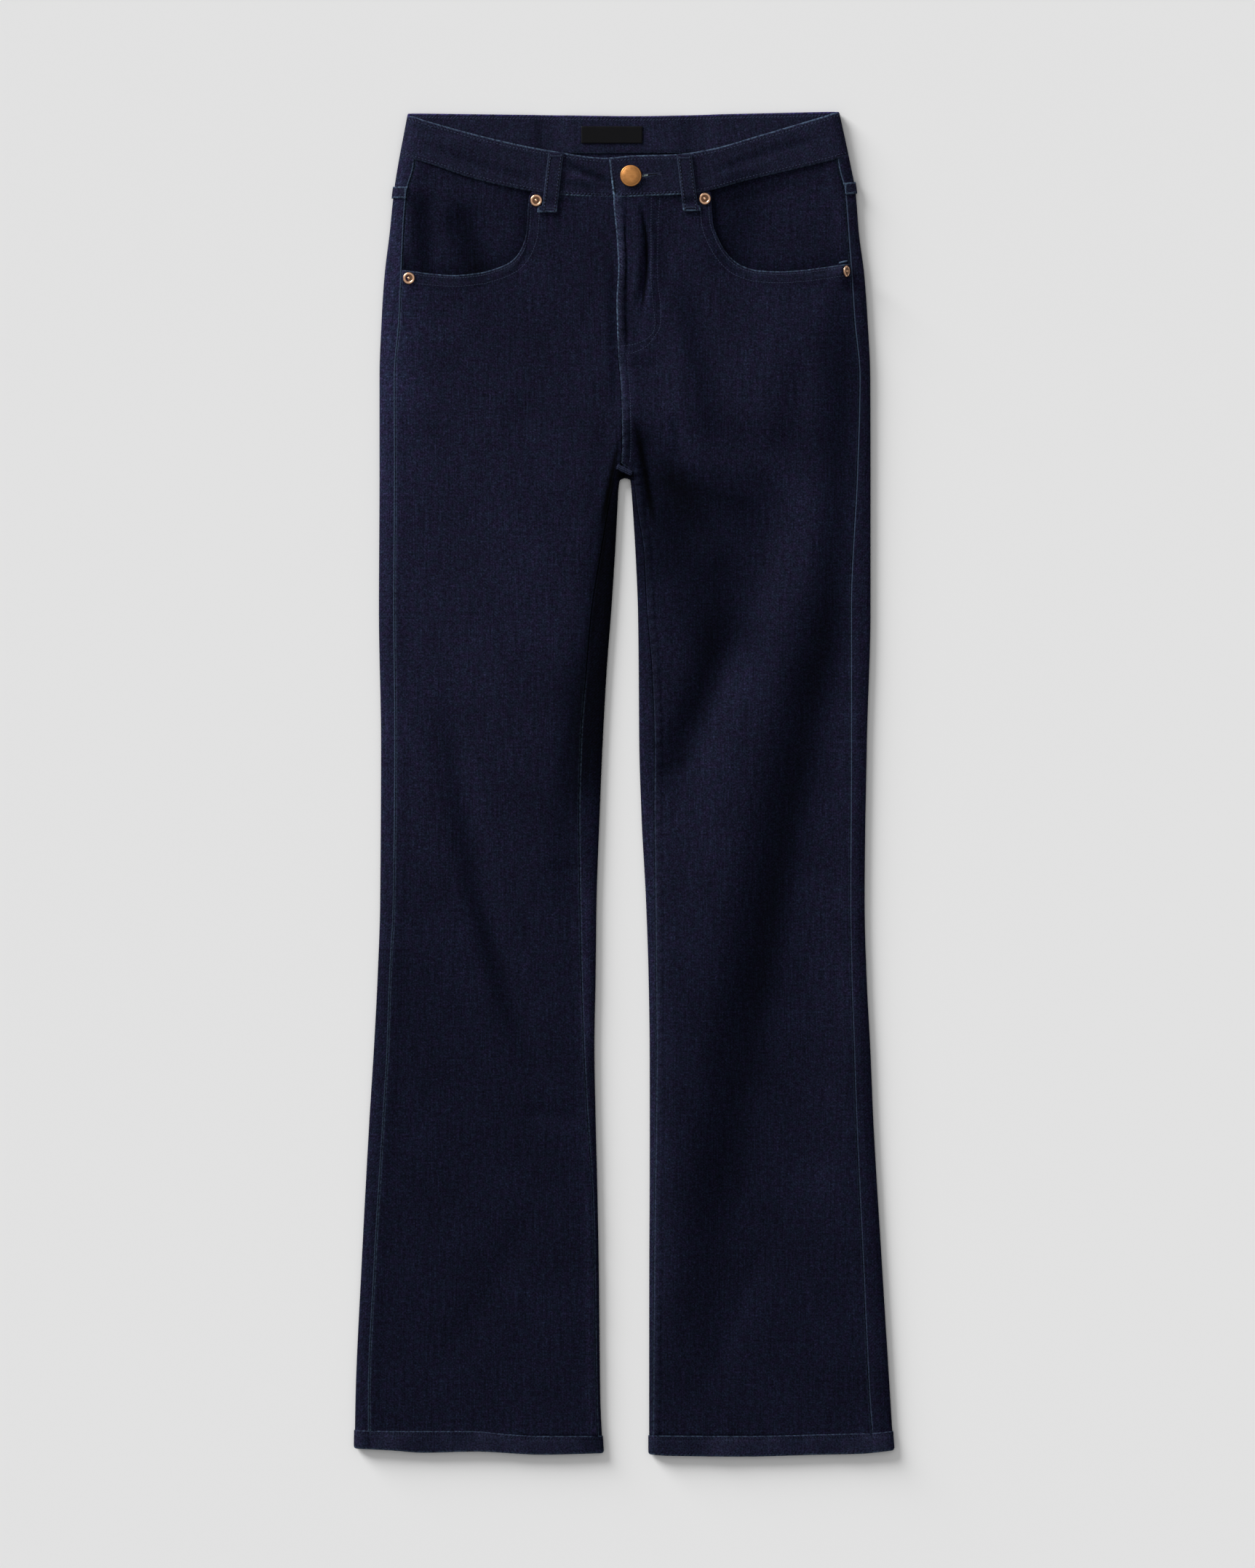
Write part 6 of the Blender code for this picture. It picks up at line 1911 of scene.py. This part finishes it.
class JEANS_OT_loops(bpy.types.Operator):
    """Add the five belt loops"""

    bl_idname = "jeans.add_loops"
    bl_label = "Belt loops"

    def execute(self, context):
        for row in LOOPS:
            declare(build_loop(*row))
        return {"FINISHED"}


class JEANS_OT_hems(bpy.types.Operator):
    """Add the turned-up hems"""

    bl_idname = "jeans.add_hems"
    bl_label = "Hems"

    def execute(self, context):
        for side, word in LEGS:
            declare(build_hem(side, f"scene_hem_{word}"))
        return {"FINISHED"}


class JEANS_OT_fly(bpy.types.Operator):
    """Finish the zip tape and the fly shield, which stay as they are in the part"""

    bl_idname = "jeans.add_fly"
    bl_label = "Zip and shield"

    def execute(self, context):
        for node, kind in (("zip", "tape"), ("fly_shield", "shield")):
            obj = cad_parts[node]
            obj.data.materials.clear()
            obj.data.materials.append(material(kind))
            width, length, area = CUTS[node]
        return {"FINISHED"}


class JEANS_OT_metal(bpy.types.Operator):
    """Add the button and the four rivets"""

    bl_idname = "jeans.add_metal"
    bl_label = "Button and rivets"

    def execute(self, context):
        for row in METAL:
            build_metal(*row)
        return {"FINISHED"}


class JEANS_OT_sewing(bpy.types.Operator):
    """Sew every seam's rows of stitches"""

    bl_idname = "jeans.add_sewing"
    bl_label = "Sewing"

    def execute(self, context):
        pieces = [o for o in context.scene.objects if o.type == "MESH" and o.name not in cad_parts]
        sewer = Sewer(pieces)
        for name, sew, kind, slot in (
            ("outseam_stitches", sew_outseams, "worn_thread", "denim"),
            ("front_stitches", sew_front, "thread", "denim"),
            ("back_stitches", sew_back, "thread", "denim"),
            ("label_stitches", sew_label, "black_thread", "label_satin"),
        ):
            sew(sewer)
            sewer.beads(name, kind, sewer.stitches)
        for part, kind in (("rim", "thread"), ("slit", "black_thread"), ("core", "pale_thread")):
            sew_buttonhole(sewer, part)
            sewer.beads(f"buttonhole_{part}", kind, sewer.stitches)
        sewer.row(POCKET_LIP, ["front_left", "pocket_facing_left"], pitch=9.5, long=0.95, wide=2.2, sink=0.4)
        sewer.beads("pocket_lip", "worn_thread", sewer.stitches)
        sewer.beads("needle_holes", "black_thread", sewer.hole_shades)
        return {"FINISHED"}


class JEANS_OT_stage(bpy.types.Operator):
    """Add the floor, the soft light and the camera above it"""

    bl_idname = "jeans.add_stage"
    bl_label = "Stage"

    def execute(self, context):
        scene = context.scene
        add_floor(scene)
        add_light(scene)
        eye = bpy.data.cameras.new("camera")
        eye.sensor_width = SENSOR_WIDTH
        eye.lens = SENSOR_WIDTH * CAMERA_HEIGHT / VIEW_HEIGHT
        camera = bpy.data.objects.new("camera", eye)
        camera.location = (CAMERA_X, 0.0, CAMERA_HEIGHT)
        scene.collection.objects.link(camera)
        scene.camera = camera
        return {"FINISHED"}


def add_floor(scene):
    """A plain sheet of paper under the jeans."""
    bm = bmesh.new()
    bmesh.ops.create_grid(bm, x_segments=1, y_segments=1, size=FLOOR_SIZE)
    mesh = bpy.data.meshes.new("floor")
    bm.to_mesh(mesh)
    bm.free()
    mesh.materials.append(floor_material())
    floor = bpy.data.objects.new("floor", mesh)
    scene.collection.objects.link(floor)


def add_light(scene):
    """A wide window up and to the left of the jeans, and a room that is lighter on its side and above."""
    lamp = bpy.data.lights.new("window", "SUN")
    lamp.energy = SUN_POWER
    lamp.angle = math.radians(SUN_WIDTH)
    sun = bpy.data.objects.new("window", lamp)
    height, turn = math.radians(SUN_ELEVATION), math.radians(SUN_AZIMUTH)
    level = Vector((math.cos(turn), math.sin(turn), 0.0))
    towards = level * math.cos(height) + Vector((0.0, 0.0, math.sin(height)))
    sun.rotation_euler = towards.to_track_quat("Z", "Y").to_euler()
    scene.collection.objects.link(sun)

    world = bpy.data.worlds.new("room")
    world.use_nodes = True
    tree = world.node_tree
    node = partial(add_node, tree)
    way = node("TexCoord", {}, "Generated")
    lean = node("VectorMath", {0: way, 1: tuple(level * SKY_SLANT)}, "Value", operation="DOT_PRODUCT")
    strength = node("Math", {0: lean, 1: SKY_POWER, 2: SKY_POWER}, operation="MULTIPLY_ADD")
    rise = node("SeparateXYZ", {0: way}, 2)
    rise = node("Math", {0: rise, 1: 0.0}, operation="MAXIMUM")
    overhead = node("Math", {0: rise, 1: SKY_TOP_FOCUS}, operation="POWER")
    strength = node("Math", {0: overhead, 1: SKY_TOP, 2: strength}, operation="MULTIPLY_ADD")
    background = tree.nodes["Background"]
    tree.links.new(strength, background.inputs["Strength"])
    background.inputs["Color"].default_value = (1.0, 1.0, 1.0, 1.0)
    scene.world = world
    scene.view_settings.view_transform = "Standard"


OPERATORS = (
    JEANS_OT_legs,
    JEANS_OT_facings,
    JEANS_OT_back,
    JEANS_OT_waistband,
    JEANS_OT_loops,
    JEANS_OT_hems,
    JEANS_OT_fly,
    JEANS_OT_metal,
    JEANS_OT_sewing,
    JEANS_OT_stage,
)


class JEANS_PT_panel(bpy.types.Panel):
    """Sizes, colours and pieces of the jeans"""

    bl_idname = "JEANS_PT_panel"
    bl_label = "Bootcut Jeans"
    bl_space_type = "VIEW_3D"
    bl_region_type = "UI"
    bl_category = "Jeans"

    def draw(self, context):
        for group in (context.scene.jeans_sizes, context.scene.jeans_colours):
            for word in group.__annotations__:
                self.layout.prop(group, word)
        for operator in OPERATORS:
            self.layout.operator(operator.bl_idname)


CLASSES = (JeansSizes, JeansColours, *OPERATORS, JEANS_PT_panel)


def register():
    """Registers the classes and gives the scene its sizes and colours."""
    for cls in CLASSES:
        bpy.utils.register_class(cls)
    bpy.types.Scene.jeans_sizes = bpy.props.PointerProperty(type=JeansSizes)
    bpy.types.Scene.jeans_colours = bpy.props.PointerProperty(type=JeansColours)


def unregister():
    """Undoes register."""
    del bpy.types.Scene.jeans_colours
    del bpy.types.Scene.jeans_sizes
    for cls in reversed(CLASSES):
        bpy.utils.unregister_class(cls)


def main():
    """Builds the jeans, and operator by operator."""
    register()
    bpy.ops.jeans.add_legs()
    bpy.ops.jeans.add_facings()
    bpy.ops.jeans.add_back()
    bpy.ops.jeans.add_waistband()
    bpy.ops.jeans.add_loops()
    bpy.ops.jeans.add_hems()
    bpy.ops.jeans.add_fly()
    bpy.ops.jeans.add_metal()
    bpy.ops.jeans.add_sewing()
    bpy.ops.jeans.add_stage()


if __name__ == "__main__":
    main()
